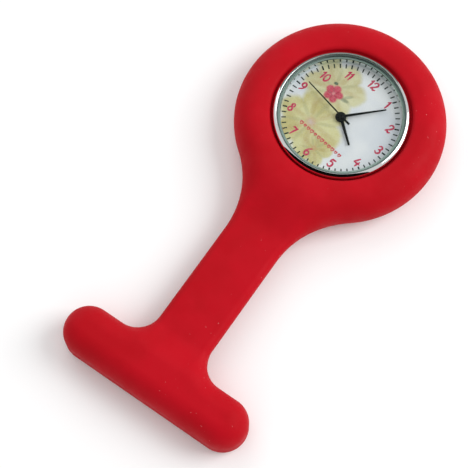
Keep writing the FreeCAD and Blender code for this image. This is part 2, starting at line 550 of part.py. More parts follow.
# ---------------------------------------------------------------- dial and hands
def build_dial():
    """The dial with its two feet, and the three hands."""
    dial = new_body("dial")
    rod(dial, "Z", "dial_radius", "dial_seat", "dial_thickness")
    rod(dial, "Z", "dial_hole", f"dial_seat - {OVERCUT}", f"dial_thickness + 2 * {OVERCUT}", cut=True)
    for x, y in (("foot_x", "-foot_y"), ("-foot_x", "foot_y")):
        rod(dial, "Z", "foot_radius", "dial_seat - foot_length", "foot_length + 0.1", across=(x, y))
    seat(dial)

    for name, pipe in (("hour", "hour_pipe_outer"), ("minute", "cannon_outer"), ("second", "seconds_arbor")):
        hand = new_body(f"{name}_hand")
        level = (f"{name}_low", f"{name}_thick")
        rod(hand, "Z", f"{name}_hub", *level)
        slab(hand, [(f"-{name}_root", "0"), (f"{name}_root", "0"), (f"{name}_tip", f"{name}_length"),
                    (f"-{name}_tip", f"{name}_length")], *level)
        if name == "second":
            slab(hand, [("-second_root", "0"), ("-tail_half_width", "-second_tail"),
                        ("tail_half_width", "-second_tail"), ("second_root", "0")], *level)
            rod(hand, "Z", "second_boss", "second_boss_low", "second_low - second_boss_low + 0.02")
        rod(hand, "Z", pipe, f"{name}_low - {OVERCUT}", f"{name}_thick + 2 * {OVERCUT}", cut=True)
        seat(hand, turn=f"-{name}_angle")


# ---------------------------------------------------------------- movement frame
def frame_slab(body, grow, low, thickness):
    """The movement's outline, a rectangle with large round corners, grown by a margin."""
    block(body, (f"-frame_x - ({grow})", f"-frame_y - ({grow})", low),
          (f"2 * (frame_x + {grow})", f"2 * (frame_y + {grow})", thickness))
    ease(body, f"frame_round + {grow}", is_upright)


def build_frame():
    """The main plate, the train bridge, their screws and the ring that holds the movement in the case."""
    main = new_body("main_plate")
    top_side = f"plate_top + {OVERCUT}"
    frame_slab(main, "0", "plate_under", "plate_top - plate_under")
    for x, y in BRIDGE_SCREWS:
        rod(main, "Z", "pillar_radius", "bridge_under + bridge_thick",
            "plate_under - bridge_under - bridge_thick + 0.1",
            across=(x, y))
        rod(main, "Z", "screw_radius + screw_play", f"bridge_under - {OVERCUT}",
            f"screw_top - bridge_under + {OVERCUT}", across=(x, y), cut=True)
    rod(main, "Z", "pillar_radius", "board_low + board_thick", "plate_under - board_low - board_thick + 0.1",
        across=BOARD_SCREW)
    rod(main, "Z", "screw_radius + screw_play", "board_low", "screw_top - board_low", across=BOARD_SCREW,
        cut=True)
    rod(main, "Z", "works_radius", "works_floor", f"{top_side} - works_floor", cut=True)
    rod(main, "Z", "idler_recess", "works_floor", f"{top_side} - works_floor", across=IDLER, cut=True)
    rod(main, "Z", "centre_hole", f"plate_under - {OVERCUT}", f"works_floor - plate_under + 2 * {OVERCUT}",
        cut=True)
    for place in (THIRD, FIFTH, ROTOR):
        rod(main, "Z", "pivot_radius + pivot_play", f"plate_under - {OVERCUT}",
            f"pivot_top - plate_under + {OVERCUT} + pivot_play", across=place, cut=True)
    block(main, ("stem_channel_low", "-stem_channel", f"plate_under - {OVERCUT}"),
          ("frame_x", "2 * stem_channel", f"stem_channel_top - plate_under + {OVERCUT}"), cut=True)
    block(main, ("clutch_room_low", "-clutch_room", f"plate_under - {OVERCUT}"),
          ("clutch_room_high - clutch_room_low", "2 * clutch_room",
           f"stem_height + clutch_room - plate_under + {OVERCUT}"),
          cut=True)
    block(main, ("lever_room_left", "lever_room_near", "stem_channel_top"),
          ("lever_room_right - lever_room_left", "lever_room_far - lever_room_near",
           f"{top_side} - stem_channel_top"),
          cut=True)
    block(main, ("yoke_room_left", "lever_room_near", "yoke_room_floor"),
          ("clutch_room_high - yoke_room_left", "yoke_room_far - lever_room_near",
           f"{top_side} - yoke_room_floor"),
          cut=True)
    block(main, ("-coil_room_x", "coil_room_low", f"plate_under - {OVERCUT}"),
          ("2 * coil_room_x", "coil_room_high - coil_room_low", f"coil_room_top - plate_under + {OVERCUT}"),
          cut=True)
    rod(main, "Z", "battery_room", f"plate_under - {OVERCUT}", f"battery_room_top - plate_under + {OVERCUT}",
        across=("battery_x", "battery_y"), cut=True)
    for x, y in (("foot_x", "-foot_y"), ("-foot_x", "foot_y")):
        rod(main, "Z", "foot_radius + screw_play", "dial_seat - foot_length - 0.02", "foot_length + 0.2",
            across=(x, y), cut=True)
    rod(main, "Z", "stud_radius", "works_floor - 0.1", "stud_top - works_floor + 0.1", across=IDLER)
    rod(main, "Z", "stud_radius", "stem_channel_top - 0.1", "lever_stud_top - stem_channel_top + 0.1",
        across=("lever_pivot_x", "lever_pivot_y"))
    rod(main, "Z", "stud_radius", "yoke_room_floor - 0.1", "yoke_stud_top - yoke_room_floor + 0.1",
        across=("yoke_pivot_x", "yoke_pivot_y"))

    bridge = new_body("train_bridge")
    block(bridge, ("-bridge_half_width", "bridge_near", "bridge_under"),
          ("2 * bridge_half_width", "bridge_far - bridge_near", "bridge_thick"))
    ease(bridge, "bridge_round", is_upright)
    rod(bridge, "Z", "battery_room", f"bridge_under - {OVERCUT}", f"bridge_thick + 2 * {OVERCUT}",
        across=("battery_x", "battery_y"), cut=True)
    for x, y in BRIDGE_SCREWS:
        rod(bridge, "Z", "screw_radius + screw_play", f"bridge_under - {OVERCUT}",
            f"bridge_thick + 2 * {OVERCUT}",
            across=(x, y), cut=True)
    for place in (CENTRE, THIRD, FIFTH, ROTOR):
        rod(bridge, "Z", "pivot_radius + pivot_play", f"bridge_under - {OVERCUT}",
            f"bridge_thick + 2 * {OVERCUT}",
            across=place, cut=True)

    screws = new_body("movement_screws")
    for place, seat_height in [(spot, "bridge_under")
                               for spot in BRIDGE_SCREWS] + [(BOARD_SCREW, "board_low")]:
        rod(screws, "Z", "screw_radius", seat_height, f"screw_top - 0.05 - {seat_height}", across=place)
        rod(screws, "Z", "screw_head", f"{seat_height} - screw_head_height", "screw_head_height",
            across=place)
        block(screws, (f"{place[0]} - screw_head", f"{place[1]} - screw_slot / 2",
                       f"{seat_height} - screw_head_height - 0.1"),
              ("2 * screw_head", "screw_slot", "screw_slot_depth + 0.1"), cut=True)

    ring = new_body("movement_ring")
    rod(ring, "Z", "ring_radius", "ring_low", "plate_top - ring_low")
    hollow = new_body("movement_room", keep=False)
    frame_slab(hollow, "ring_gap", f"ring_low - {OVERCUT}", f"plate_top - ring_low + 2 * {OVERCUT}")
    cut = ring.newObject("PartDesign::Boolean", "hollow")
    cut.Type = "Cut"
    cut.setObjects([hollow])
    doc.recompute()
    block(ring, ("frame_x - 0.5", "-ring_slot", f"ring_low - {OVERCUT}"),
          ("ring_radius", "2 * ring_slot", f"plate_top - ring_low + 2 * {OVERCUT}"), cut=True)
    for bearing in ("45", "180", "315"):
        rod(ring, "Z", "leg_radius", "leg_low", "ring_low - leg_low + 0.1",
            across=(f"leg_place * cos({bearing})", f"leg_place * sin({bearing})"))
    for body in (main, bridge, screws, ring):
        seat(body)


# ---------------------------------------------------------------- going train
def toothed_disc(teeth, module, low, top, first):
    """A gear with straight-flanked teeth, its first tooth in a given direction in degrees."""
    count = int(round(value(teeth)))
    size = value(module)
    pitch = size * count / 2
    root = pitch - 1.2 * size
    tip = pitch + 0.85 * size
    step = 360.0 / count
    corners = []
    for tooth in range(count):
        for radius, share in ((root, -0.26), (tip, -0.12), (tip, 0.12), (root, 0.26)):
            angle = math.radians(first + (tooth + share) * step)
            corners.append(Vector(radius * math.cos(angle), radius * math.sin(angle), value(low)))
    face = Part.Face(Part.makePolygon(corners + corners[:1]))
    return face.extrude(Vector(0, 0, value(top) - value(low)))


def shaft(radius, low, top):
    """A plain round shaft on the local Z axis."""
    return Part.makeCylinder(value(radius), value(top) - value(low), Vector(0, 0, value(low)))


def gear_node(label, place, pieces, bore=None):
    """One turning part of the train, fused from its discs and shafts and bored if it is hollow."""
    shape = pieces[0].multiFuse(pieces[1:])
    if bore:
        shape = shape.cut(shaft(*bore))
    wheel = doc.addObject("Part::Feature", label)
    wheel.Label = label
    wheel.Shape = shape.removeSplitter()
    seat(wheel, x=place[0], y=place[1])
    nodes.append(wheel)


def facing(from_place, to_place):
    """The direction in degrees from one axis to another."""
    rise = value(to_place[1]) - value(from_place[1])
    run = value(to_place[0]) - value(from_place[0])
    return math.degrees(math.atan2(rise, run))


def half_step(teeth):
    """Half a tooth's spacing in degrees, which puts a gap where a tooth would be."""
    return 180.0 / value(teeth)


def build_train():
    """The rotor and the wheels, each pair in mesh with a tooth of one facing a gap of the other."""
    arbor = [("arbor_radius", "arbor_low", "arbor_top"), ("pivot_radius", "pivot_low", "pivot_top")]
    plain = [shaft(*size) for size in arbor]
    gear_node("rotor", ROTOR, [
        toothed_disc("rotor_teeth", "rotor_module", "rotor_low", "rotor_top", facing(ROTOR, FIFTH)),
        shaft("magnet_radius", "magnet_low", "magnet_top")] + plain)
    gear_node("fifth_wheel", FIFTH, [
        toothed_disc("fifth_teeth", "rotor_module", "fifth_low", "fifth_low + wheel_thick",
                     facing(FIFTH, ROTOR) + half_step("fifth_teeth")),
        toothed_disc("fifth_pinion", "train_module", "fifth_pinion_low", "fifth_low", facing(FIFTH, CENTRE))]
        + plain)
    gear_node("fourth_wheel", CENTRE, [
        toothed_disc("fourth_teeth", "train_module", "fourth_low", "fourth_low + wheel_thick",
                     facing(CENTRE, FIFTH) + half_step("fourth_teeth")),
        toothed_disc("fourth_pinion", "train_module", "fourth_pinion_low", "fourth_pinion_top",
                     facing(CENTRE, THIRD)),
        shaft("seconds_arbor", "arbor_low", "seconds_arbor_top"),
        shaft("pivot_radius", "pivot_low", "arbor_top")])
    gear_node("third_wheel", THIRD, [
        toothed_disc("third_teeth", "train_module", "third_low", "third_low + wheel_thick",
                     facing(THIRD, CENTRE) + half_step("third_teeth")),
        toothed_disc("third_pinion", "centre_module", "third_pinion_low", "arbor_top",
                     facing(THIRD, CENTRE))] + plain)
    gear_node("centre_wheel", CENTRE, [
        toothed_disc("centre_teeth", "centre_module", "centre_low", "centre_low + wheel_thick",
                     facing(CENTRE, THIRD) + half_step("centre_teeth")),
        toothed_disc("cannon_teeth", "works_module", "cannon_low", "cannon_teeth_top", facing(CENTRE, IDLER)),
        shaft("cannon_outer", "centre_low - 0.05", "cannon_top")],
        bore=("cannon_inner", "centre_low - 1", "cannon_top + 1"))
    gear_node("minute_wheel", IDLER, [
        toothed_disc("idler_teeth", "works_module", "idler_low", "idler_low + wheel_thick",
                     facing(IDLER, CENTRE) + half_step("idler_teeth")),
        toothed_disc("idler_pinion", "works_module", "idler_low", "idler_pinion_top", facing(IDLER, CENTRE))],
        bore=("stud_radius + stud_play", "idler_low - 1", "idler_pinion_top + 1"))
    gear_node("hour_wheel", CENTRE, [
        toothed_disc("hour_teeth", "works_module", "hour_wheel_low", "hour_wheel_low + hour_wheel_thick",
                     facing(CENTRE, IDLER) + half_step("hour_teeth")),
        shaft("hour_pipe_outer", "hour_wheel_low", "hour_pipe_top")],
        bore=("hour_pipe_inner", "hour_wheel_low - 1", "hour_pipe_top + 1"))


# ---------------------------------------------------------------- motor, electronics and setting works
def build_works():
    """The stepping motor's fixed parts, the circuit, the cell, and the setting lever and yoke."""
    stator = new_body("stator")
    level = ("stator_low", "stator_thick")
    block(stator, ("-stator_half", "stator_front", level[0]),
          ("2 * stator_half", "stator_back - stator_front", level[1]))
    for left in ("-stator_half", "stator_half - stator_leg"):
        block(stator, (left, "stator_back - 0.1", level[0]),
              ("stator_leg", "stator_leg_end - stator_back + 0.1", level[1]))
    rod(stator, "Z", "stator_hole", "stator_low - 0.1", "stator_thick + 0.2", across=ROTOR, cut=True)

    core = new_body("coil_core")
    block(core, ("-core_half", "coil_y - core_width / 2", "core_low"),
          ("2 * core_half", "core_width", "core_thick"))

    coil = new_body("coil_winding")
    rod(coil, "X", "coil_radius", "-coil_half", "2 * coil_half", across=("coil_y", "coil_height"))
    for low in ("-coil_half", "coil_half - coil_flange_thick"):
        rod(coil, "X", "coil_flange", low, "coil_flange_thick", across=("coil_y", "coil_height"))
    block(coil, ("-core_half", "coil_y - core_width / 2 - core_play", "core_low - core_play"),
          ("2 * core_half", "core_width + 2 * core_play", "core_thick + 2 * core_play"), cut=True)

    cell = new_body("battery")
    spot = ("battery_x", "battery_y")
    rod(cell, "Z", "battery_cap_radius", "battery_low + battery_height - battery_cap_height",
        "battery_cap_height",
        across=spot)
    rod(cell, "Z", "battery_radius", "battery_low", "battery_height - battery_cap_height + 0.05", across=spot)

    clip = new_body("battery_clip")
    clip_top = "plate_under"
    block(clip, ("clip_left", "battery_y - clip_width / 2", "clip_low"),
          ("clip_right - clip_left", "clip_width", "clip_thick"))
    for left in ("clip_left", "clip_right - clip_thick"):
        block(clip, (left, "battery_y - clip_width / 2", "clip_low"),
              ("clip_thick", "clip_width", f"{clip_top} - clip_low"))

    board = new_body("circuit_board")
    block(board, ("board_left", "board_near", "board_low"),
          ("board_right - board_left", "board_far - board_near", "board_thick"))
    far_right = value("board_right")
    ease(board, "board_corner", lambda edge, middle: is_upright(edge, middle)
         and abs(middle.x - far_right) < 1e-4)
    rod(board, "Z", "screw_radius + screw_play", "board_low - 0.1", "board_thick + 0.2", across=BOARD_SCREW,
        cut=True)

    board_top = "(board_low + board_thick)"
    chip = new_body("control_chip")
    block(chip, ("chip_x - chip_side / 2", "chip_y - chip_side / 2", board_top),
          ("chip_side", "chip_side", "chip_height"))

    can = new_body("quartz_can")
    rod(can, "X", "can_radius", "can_left", "can_length", across=("can_y", "can_height"))
    can_ends = (value("can_left"), value("can_left + can_length"))
    ease(can, "can_radius / 4", lambda edge, middle: min(abs(middle.x - end) for end in can_ends) < 1e-4)

    lever = new_body("setting_lever")
    level = ("lever_low", "lever_thick")
    rod(lever, "Z", "stud_radius + lever_half_width / 2", *level)
    block(lever, ("-lever_half_width", "-lever_pivot_y", level[0]),
          ("2 * lever_half_width", "lever_pivot_y", level[1]))
    rod(lever, "Z", "lever_half_width", *level, across=("0", "-lever_pivot_y"))
    rod(lever, "Z", "lever_pin_radius", "lever_pin_low", "lever_low - lever_pin_low + 0.02",
        across=("0", "-lever_pivot_y"))
    rod(lever, "Z", "stud_radius + stud_play", "lever_low - 0.1", "lever_thick + 0.2", cut=True)

    yoke = new_body("yoke")
    level = ("yoke_low", "yoke_thick")
    tongue_x = "(clutch_low + clutch_groove_low + clutch_groove_width / 2 - yoke_pivot_x)"
    rod(yoke, "Z", "stud_radius + yoke_half_width", *level)
    slab(yoke, [("-yoke_half_width", "0"), (f"{tongue_x} - yoke_half_width",
                                            "-yoke_pivot_y - yoke_half_width"),
                (f"{tongue_x} + yoke_half_width", "-yoke_pivot_y - yoke_half_width"),
                ("yoke_half_width", "0")], *level)
    block(yoke, (f"{tongue_x} - yoke_tongue_width / 2", "-yoke_pivot_y - yoke_half_width", "yoke_tongue_low"),
          ("yoke_tongue_width", "2 * yoke_half_width", "yoke_low - yoke_tongue_low + 0.02"))
    rod(yoke, "Z", "stud_radius + stud_play", "yoke_low - 0.1", "yoke_thick + 0.2", cut=True)

    for body in (stator, core, coil, cell, clip, board, chip, can):
        seat(body)
    seat(lever, x="lever_pivot_x", y="lever_pivot_y")
    seat(yoke, x="yoke_pivot_x", y="yoke_pivot_y")


def export_nodes():
    """Checks every object and writes each node to its own file."""
    doc.recompute()
    for item in doc.Objects:
        if "Invalid" in item.State or "Error" in item.State:
            raise ValueError(f"{item.Label} is {item.State}")
    os.makedirs("parts", exist_ok=True)
    for node in nodes:
        if node.Shape.isNull() or not node.Shape.isValid() or not node.Shape.Solids:
            raise ValueError(f"{node.Label} has no valid solid")
        node.Shape.exportStep(f"parts/{node.Label}.step")


build_sleeve()
build_brooch()
build_case()
build_crown()
build_dial()
build_frame()
build_train()
build_works()
export_nodes()
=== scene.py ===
"""Fob watch: the moulded sleeve, the watch head's visible pieces, the printed dial, materials and light."""
import json
import math

import bmesh
import bpy
import numpy as np
from mathutils import Matrix, Vector


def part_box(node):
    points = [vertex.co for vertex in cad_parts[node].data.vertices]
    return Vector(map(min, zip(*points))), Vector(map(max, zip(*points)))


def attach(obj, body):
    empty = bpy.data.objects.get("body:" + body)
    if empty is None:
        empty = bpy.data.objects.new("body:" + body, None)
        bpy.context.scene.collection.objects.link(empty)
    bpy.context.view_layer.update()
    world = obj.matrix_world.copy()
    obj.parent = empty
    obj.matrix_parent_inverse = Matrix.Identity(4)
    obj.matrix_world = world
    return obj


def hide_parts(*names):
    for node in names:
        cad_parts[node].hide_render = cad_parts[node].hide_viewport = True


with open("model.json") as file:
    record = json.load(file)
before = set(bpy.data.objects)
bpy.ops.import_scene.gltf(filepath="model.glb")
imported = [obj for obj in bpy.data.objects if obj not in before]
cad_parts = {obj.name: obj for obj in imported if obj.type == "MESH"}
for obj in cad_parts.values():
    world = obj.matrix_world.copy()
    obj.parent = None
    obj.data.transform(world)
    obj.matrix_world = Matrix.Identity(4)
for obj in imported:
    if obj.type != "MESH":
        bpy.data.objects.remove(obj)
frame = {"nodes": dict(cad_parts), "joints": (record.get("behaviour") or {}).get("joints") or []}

MM = 0.001
TURNED_SHARP, HAND_SHARP = 28, 25
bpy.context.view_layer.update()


# ---------------------------------------------------------------- places, from the frame
def box_mm(node):
    """A node's lowest and highest corners in millimetres."""
    low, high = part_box(node)
    return np.array(low) / MM, np.array(high) / MM


def middle_mm(node):
    """The middle of a node's box in millimetres."""
    low, high = box_mm(node)
    return (low + high) / 2


def radius_mm(node):
    """Half a round node's width in millimetres."""
    low, high = box_mm(node)
    return (high[0] - low[0]) / 2


SLEEVE_LOW, SLEEVE_HIGH = box_mm("silicone_sleeve")
HEAD_Y = middle_mm("bezel_ring")[1]
BAR_Y = middle_mm("pin_plate")[1]
POD_RADIUS = SLEEVE_HIGH[1] - HEAD_Y
BAR_HALF_WIDTH = BAR_Y - SLEEVE_LOW[1]
SPIN = next(joint for joint in frame["joints"] if joint["name"] == "crown_turn")
HEAD_TURN = math.atan2(SPIN["axis"][1], SPIN["axis"][0])
HEAD = Matrix.Translation((0, HEAD_Y * MM, 0)) @ Matrix.Rotation(HEAD_TURN, 4, "Z")
TO_HEAD = np.array(HEAD.inverted())


# ---------------------------------------------------------------- mesh helpers
def face_outwards(mesh, weld):
    """Joins points closer than weld, in metres, and turns every face outwards."""
    work = bmesh.new()
    work.from_mesh(mesh)
    if weld:
        bmesh.ops.remove_doubles(work, verts=work.verts, dist=weld)
    bmesh.ops.recalc_face_normals(work, faces=work.faces)
    work.to_mesh(mesh)
    work.free()


def new_piece(name, points, faces, material, body, matrix=None, smooth=True, weld=0.0):
    """A mesh piece from points in millimetres, smooth or flat, riding on a CAD body."""
    mesh = bpy.data.meshes.new(name)
    mesh.from_pydata([tuple(p) for p in np.asarray(points) * MM], [], [tuple(f) for f in faces])
    mesh.validate()
    face_outwards(mesh, weld)
    mesh.update()
    mesh.polygons.foreach_set("use_smooth", [smooth] * len(mesh.polygons))
    piece = bpy.data.objects.new(name, mesh)
    bpy.context.scene.collection.objects.link(piece)
    if matrix is not None:
        piece.matrix_world = matrix
    piece.data.materials.append(material)
    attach(piece, body)
    return piece


def arc(centre, radius, start, end, steps=8):
    """Points of radius and height along a circular arc, angles in degrees."""
    angles = np.radians(np.linspace(start, end, steps))
    return [(centre[0] + radius * math.cos(a), centre[1] + radius * math.sin(a)) for a in angles]


def lathe(name, profile, material, body, segments=256):
    """A turned piece about the head's axis, from a closed profile of radius and height in millimetres."""
    ring = np.linspace(0, 2 * math.pi, segments, endpoint=False)
    points = [(r * math.cos(a), r * math.sin(a), z) for a in ring for r, z in profile]
    count = len(profile)
    faces = []
    for step in range(segments):
        here, there = step * count, (step + 1) % segments * count
        for index in range(count):
            after = (index + 1) % count
            faces.append((here + index, there + index, there + after, here + after))
    piece = new_piece(name, points, faces, material, body, HEAD, weld=1e-7)
    sharpen(piece, TURNED_SHARP)
    return piece


def sharpen(piece, degrees):
    """Keeps the shading flat across edges sharper than an angle."""
    piece.data.set_sharp_from_angle(angle=math.radians(degrees))


def disc_profile(radius, low, high, edge):
    """The closed profile of a disc with a small chamfer all round its top edge."""
    return [(0.0, low), (radius, low), (radius, high - edge), (radius - edge, high), (0.0, high)]


# ---------------------------------------------------------------- sleeve surface
# strap: half its width, its two faces and the rounding of its edges
STRAP_HALF, STRAP_LOW, STRAP_HIGH, STRAP_ROUND = 5.9, 2.9, 6.3, 1.5
# fillets in plan, from strap to pod and from strap to T-bar
NECK_ROUND, ROOT_ROUND = 18.8, 5.0
BAR_HALF_LENGTH, BAR_HIGH, BAR_FRONT_ROUND, BAR_BACK_ROUND = 19.95, 8.4, 4.0, 1.3
POD_FRONT_ROUND, POD_BACK_ROUND = 4.6, 4.2
# slope from pod to strap: half its angle about the pod, how far inside the pod it starts, and its length
NECK_ANGLE, NECK_SETBACK, NECK_RUN = 0.6745, 3.6, 11.0
ROOT_SETBACK, ROOT_RUN, ROOT_FLAT = 2.6, 6.5, 3.0
POCKET_RADIUS, POCKET_FLOOR, BACK_HOLE, LIP_ROLL = 13.34, 1.2, 10.8, 0.7
GROOVE_RADIUS, GROOVE_FLOOR = 13.75, 7.5
SLOT_HALF_LENGTH, SLOT_HALF_WIDTH, SLOT_DEPTH = 15.4, 2.6, 3.15
# the pod's face sinks a little towards the pocket, over a band of radius and a band of height
DROOP, DROOP_RADIUS, DROOP_BAND, DROOP_FOOT, DROOP_RISE = 0.5, 16.6, 3.2, 4.5, 3.0
EDGE_ROUND, POCKET_EDGE_ROUND = 0.4, 0.2


def soft_min(a, b, reach):
    """The smaller of two distances, blended over a reach so that their joint is rounded."""
    share = np.clip(0.5 + 0.5 * (b - a) / reach, 0, 1)
    return b * (1 - share) + a * share - reach * share * (1 - share)


def soft_max(a, b, reach):
    """The larger of two distances, blended over a reach."""
    return -soft_min(-a, -b, reach)


def rounded_slab(side, z, low, high, low_round, high_round):
    """Distance to a flat slab whose plan distance is side, with rounded upper and lower rims."""
    centre, half = (low + high) / 2, (high - low) / 2
    rounding = np.where(z > centre, high_round, low_round)
    across, up = side + rounding, np.abs(z - centre) - half + rounding
    outer = np.hypot(np.maximum(across, 0), np.maximum(up, 0))
    return np.minimum(np.maximum(across, up), 0) + outer - rounding


def smooth_step(value, start, end):
    """A share that eases from 0 at start to 1 at end."""
    share = np.clip((value - start) / (end - start), 0, 1)
    return share * share * (3 - 2 * share)


def plan_distance(x, y, pod_side, bar_side):
    """Plan distance to the outline: pod, strap and T-bar, joined by tangent round fillets."""
    width = np.abs(x)
    neck_x = STRAP_HALF + NECK_ROUND
    neck_y = HEAD_Y - math.sqrt((POD_RADIUS + NECK_ROUND) ** 2 - neck_x ** 2)
    root_x = STRAP_HALF + ROOT_ROUND
    root_y = BAR_Y + BAR_HALF_WIDTH + ROOT_ROUND
    neck = NECK_ROUND - np.hypot(width - neck_x, y - neck_y)
    root = ROOT_ROUND - np.hypot(width - root_x, y - root_y)
    past_neck = (width - neck_x) * (HEAD_Y - neck_y) + (y - neck_y) * neck_x > 0
    side = np.where(y > neck_y, neck, width - STRAP_HALF)
    side = np.where(y < root_y, np.where((width < root_x) & (y > BAR_Y), root, bar_side), side)
    return np.where(past_neck & (y > neck_y), pod_side, side)


def sleeve_distance(points):
    """Signed distance to the moulded sleeve, negative in the silicone."""
    x, y, z = points[..., 0], points[..., 1], points[..., 2]
    radius = np.hypot(x, y - HEAD_Y)
    pod_side = radius - POD_RADIUS
    past_bar = np.maximum(np.abs(x) - BAR_HALF_LENGTH + BAR_HALF_WIDTH, 0)
    bar_side = np.hypot(past_bar, y - BAR_Y) - BAR_HALF_WIDTH
    off_axis = np.abs(np.arctan2(x, HEAD_Y - y)) / NECK_ANGLE
    pod_start = -NECK_SETBACK * (1 - smooth_step(off_axis, 0.3, 1.0))
    bar_start = -ROOT_SETBACK * (1 - smooth_step(np.abs(x), ROOT_FLAT, STRAP_HALF + ROOT_ROUND)) * (y > BAR_Y)
    pod_share = 1 - smooth_step(pod_side, pod_start, pod_start + NECK_RUN)
    bar_share = 1 - smooth_step(bar_side, bar_start, bar_start + ROOT_RUN)
    strap_share = 1 - pod_share - bar_share
    low = STRAP_LOW * strap_share
    high = STRAP_HIGH * strap_share + SLEEVE_HIGH[2] * pod_share + BAR_HIGH * bar_share
    low_round = STRAP_ROUND * strap_share + POD_BACK_ROUND * pod_share + BAR_BACK_ROUND * bar_share
    high_round = STRAP_ROUND * strap_share + POD_FRONT_ROUND * pod_share + BAR_FRONT_ROUND * bar_share
    inward = np.clip((DROOP_RADIUS - radius) / DROOP_BAND, 0, 1)
    droop = DROOP * inward ** 2 * np.clip((z - DROOP_FOOT) / DROOP_RISE, 0, 1)
    side = plan_distance(x, y, pod_side, bar_side)
    solid = rounded_slab(side, z + droop, low, high, low_round, high_round)
    pocket = np.maximum(radius - POCKET_RADIUS, POCKET_FLOOR - z)
    groove = np.maximum(radius - GROOVE_RADIUS, GROOVE_FLOOR - z)
    solid = soft_max(soft_max(solid, -groove, LIP_ROLL), -pocket, POCKET_EDGE_ROUND)
    solid = soft_max(solid, BACK_HOLE - radius, EDGE_ROUND)
    slot_side = np.maximum(np.abs(x) - SLOT_HALF_LENGTH, np.abs(y - BAR_Y) - SLOT_HALF_WIDTH)
    slot = np.maximum(slot_side, z - SLOT_DEPTH)
    return soft_max(solid, -slot, EDGE_ROUND)


def surface_net(distance, low, high, step):
    """Points and quads of the zero surface of a distance function, pulled onto it afterwards."""
    axes = [np.arange(a - 2 * step, b + 3 * step, step) for a, b in zip(low, high)]
    grid = np.stack(np.meshgrid(*axes, indexing="ij"), -1)
    values = distance(grid)
    inside = values < 0
    corners = [np.array(c) for c in np.ndindex(2, 2, 2)]
    cells = tuple(n - 1 for n in inside.shape)

    def shifted(array, offset):
        """The grid values at one corner of every cell."""
        return array[tuple(slice(o, o + n) for o, n in zip(offset, cells))]
    count = sum(shifted(inside, c).astype(int) for c in corners)
    active = (count > 0) & (count < 8)
    number = -np.ones(cells, int)
    number[active] = np.arange(active.sum())
    base = np.argwhere(active)
    total, weight = np.zeros((len(base), 3)), np.zeros(len(base))
    for corner in corners:
        for axis in range(3):
            if corner[axis]:
                continue
            start = base + corner
            end = start.copy()
            end[:, axis] += 1
            a, b = values[tuple(start.T)], values[tuple(end.T)]
            crosses = (a < 0) != (b < 0)
            share = np.where(crosses, a / np.where(crosses, a - b, 1), 0)
            spot = start.astype(float)
            spot[:, axis] += share
            total += spot * crosses[:, None]
            weight += crosses
    points = total / weight[:, None] * step + np.array([a[0] for a in axes])
    faces = []
    for axis in range(3):
        span = tuple(slice(1, n) if k != axis else slice(0, n) for k, n in enumerate(cells))
        far = tuple(slice(1, n + 1) if k == axis else slice(1, n) for k, n in enumerate(cells))
        near_in, far_in = inside[span], inside[far]
        one, two = [k for k in range(3) if k != axis]
        for found, flip in ((near_in & ~far_in, False), (~near_in & far_in, True)):
            spots = np.argwhere(found)
            spots[:, one] += 1
            spots[:, two] += 1
            ring = []
            for da, db in ((-1, -1), (0, -1), (0, 0), (-1, 0)):
                cell = spots.copy()
                cell[:, one] += da
                cell[:, two] += db
                ring.append(number[tuple(cell.T)])
            quad = np.stack(ring, 1)
            if flip != (axis == 1):
                quad = quad[:, ::-1]
            faces.append(quad)
    faces = np.concatenate(faces)
    nudge, flattest = 0.01, 0.25
    for _ in range(4):
        near = distance(points)
        slope = np.stack([(distance(points + d) - distance(points - d)) / (2 * nudge)
                          for d in nudge * np.eye(3)], -1)
        points = points - (near / np.maximum((slope ** 2).sum(1), flattest))[:, None] * slope
    return points, faces


# ---------------------------------------------------------------- material helpers
def tint(red, green, blue):
    """A linear colour from screen values of 0 to 255."""
    parts = [c / 255 for c in (red, green, blue)]
    return tuple(c / 12.92 if c <= 0.04045 else ((c + 0.055) / 1.055) ** 2.4 for c in parts) + (1.0,)


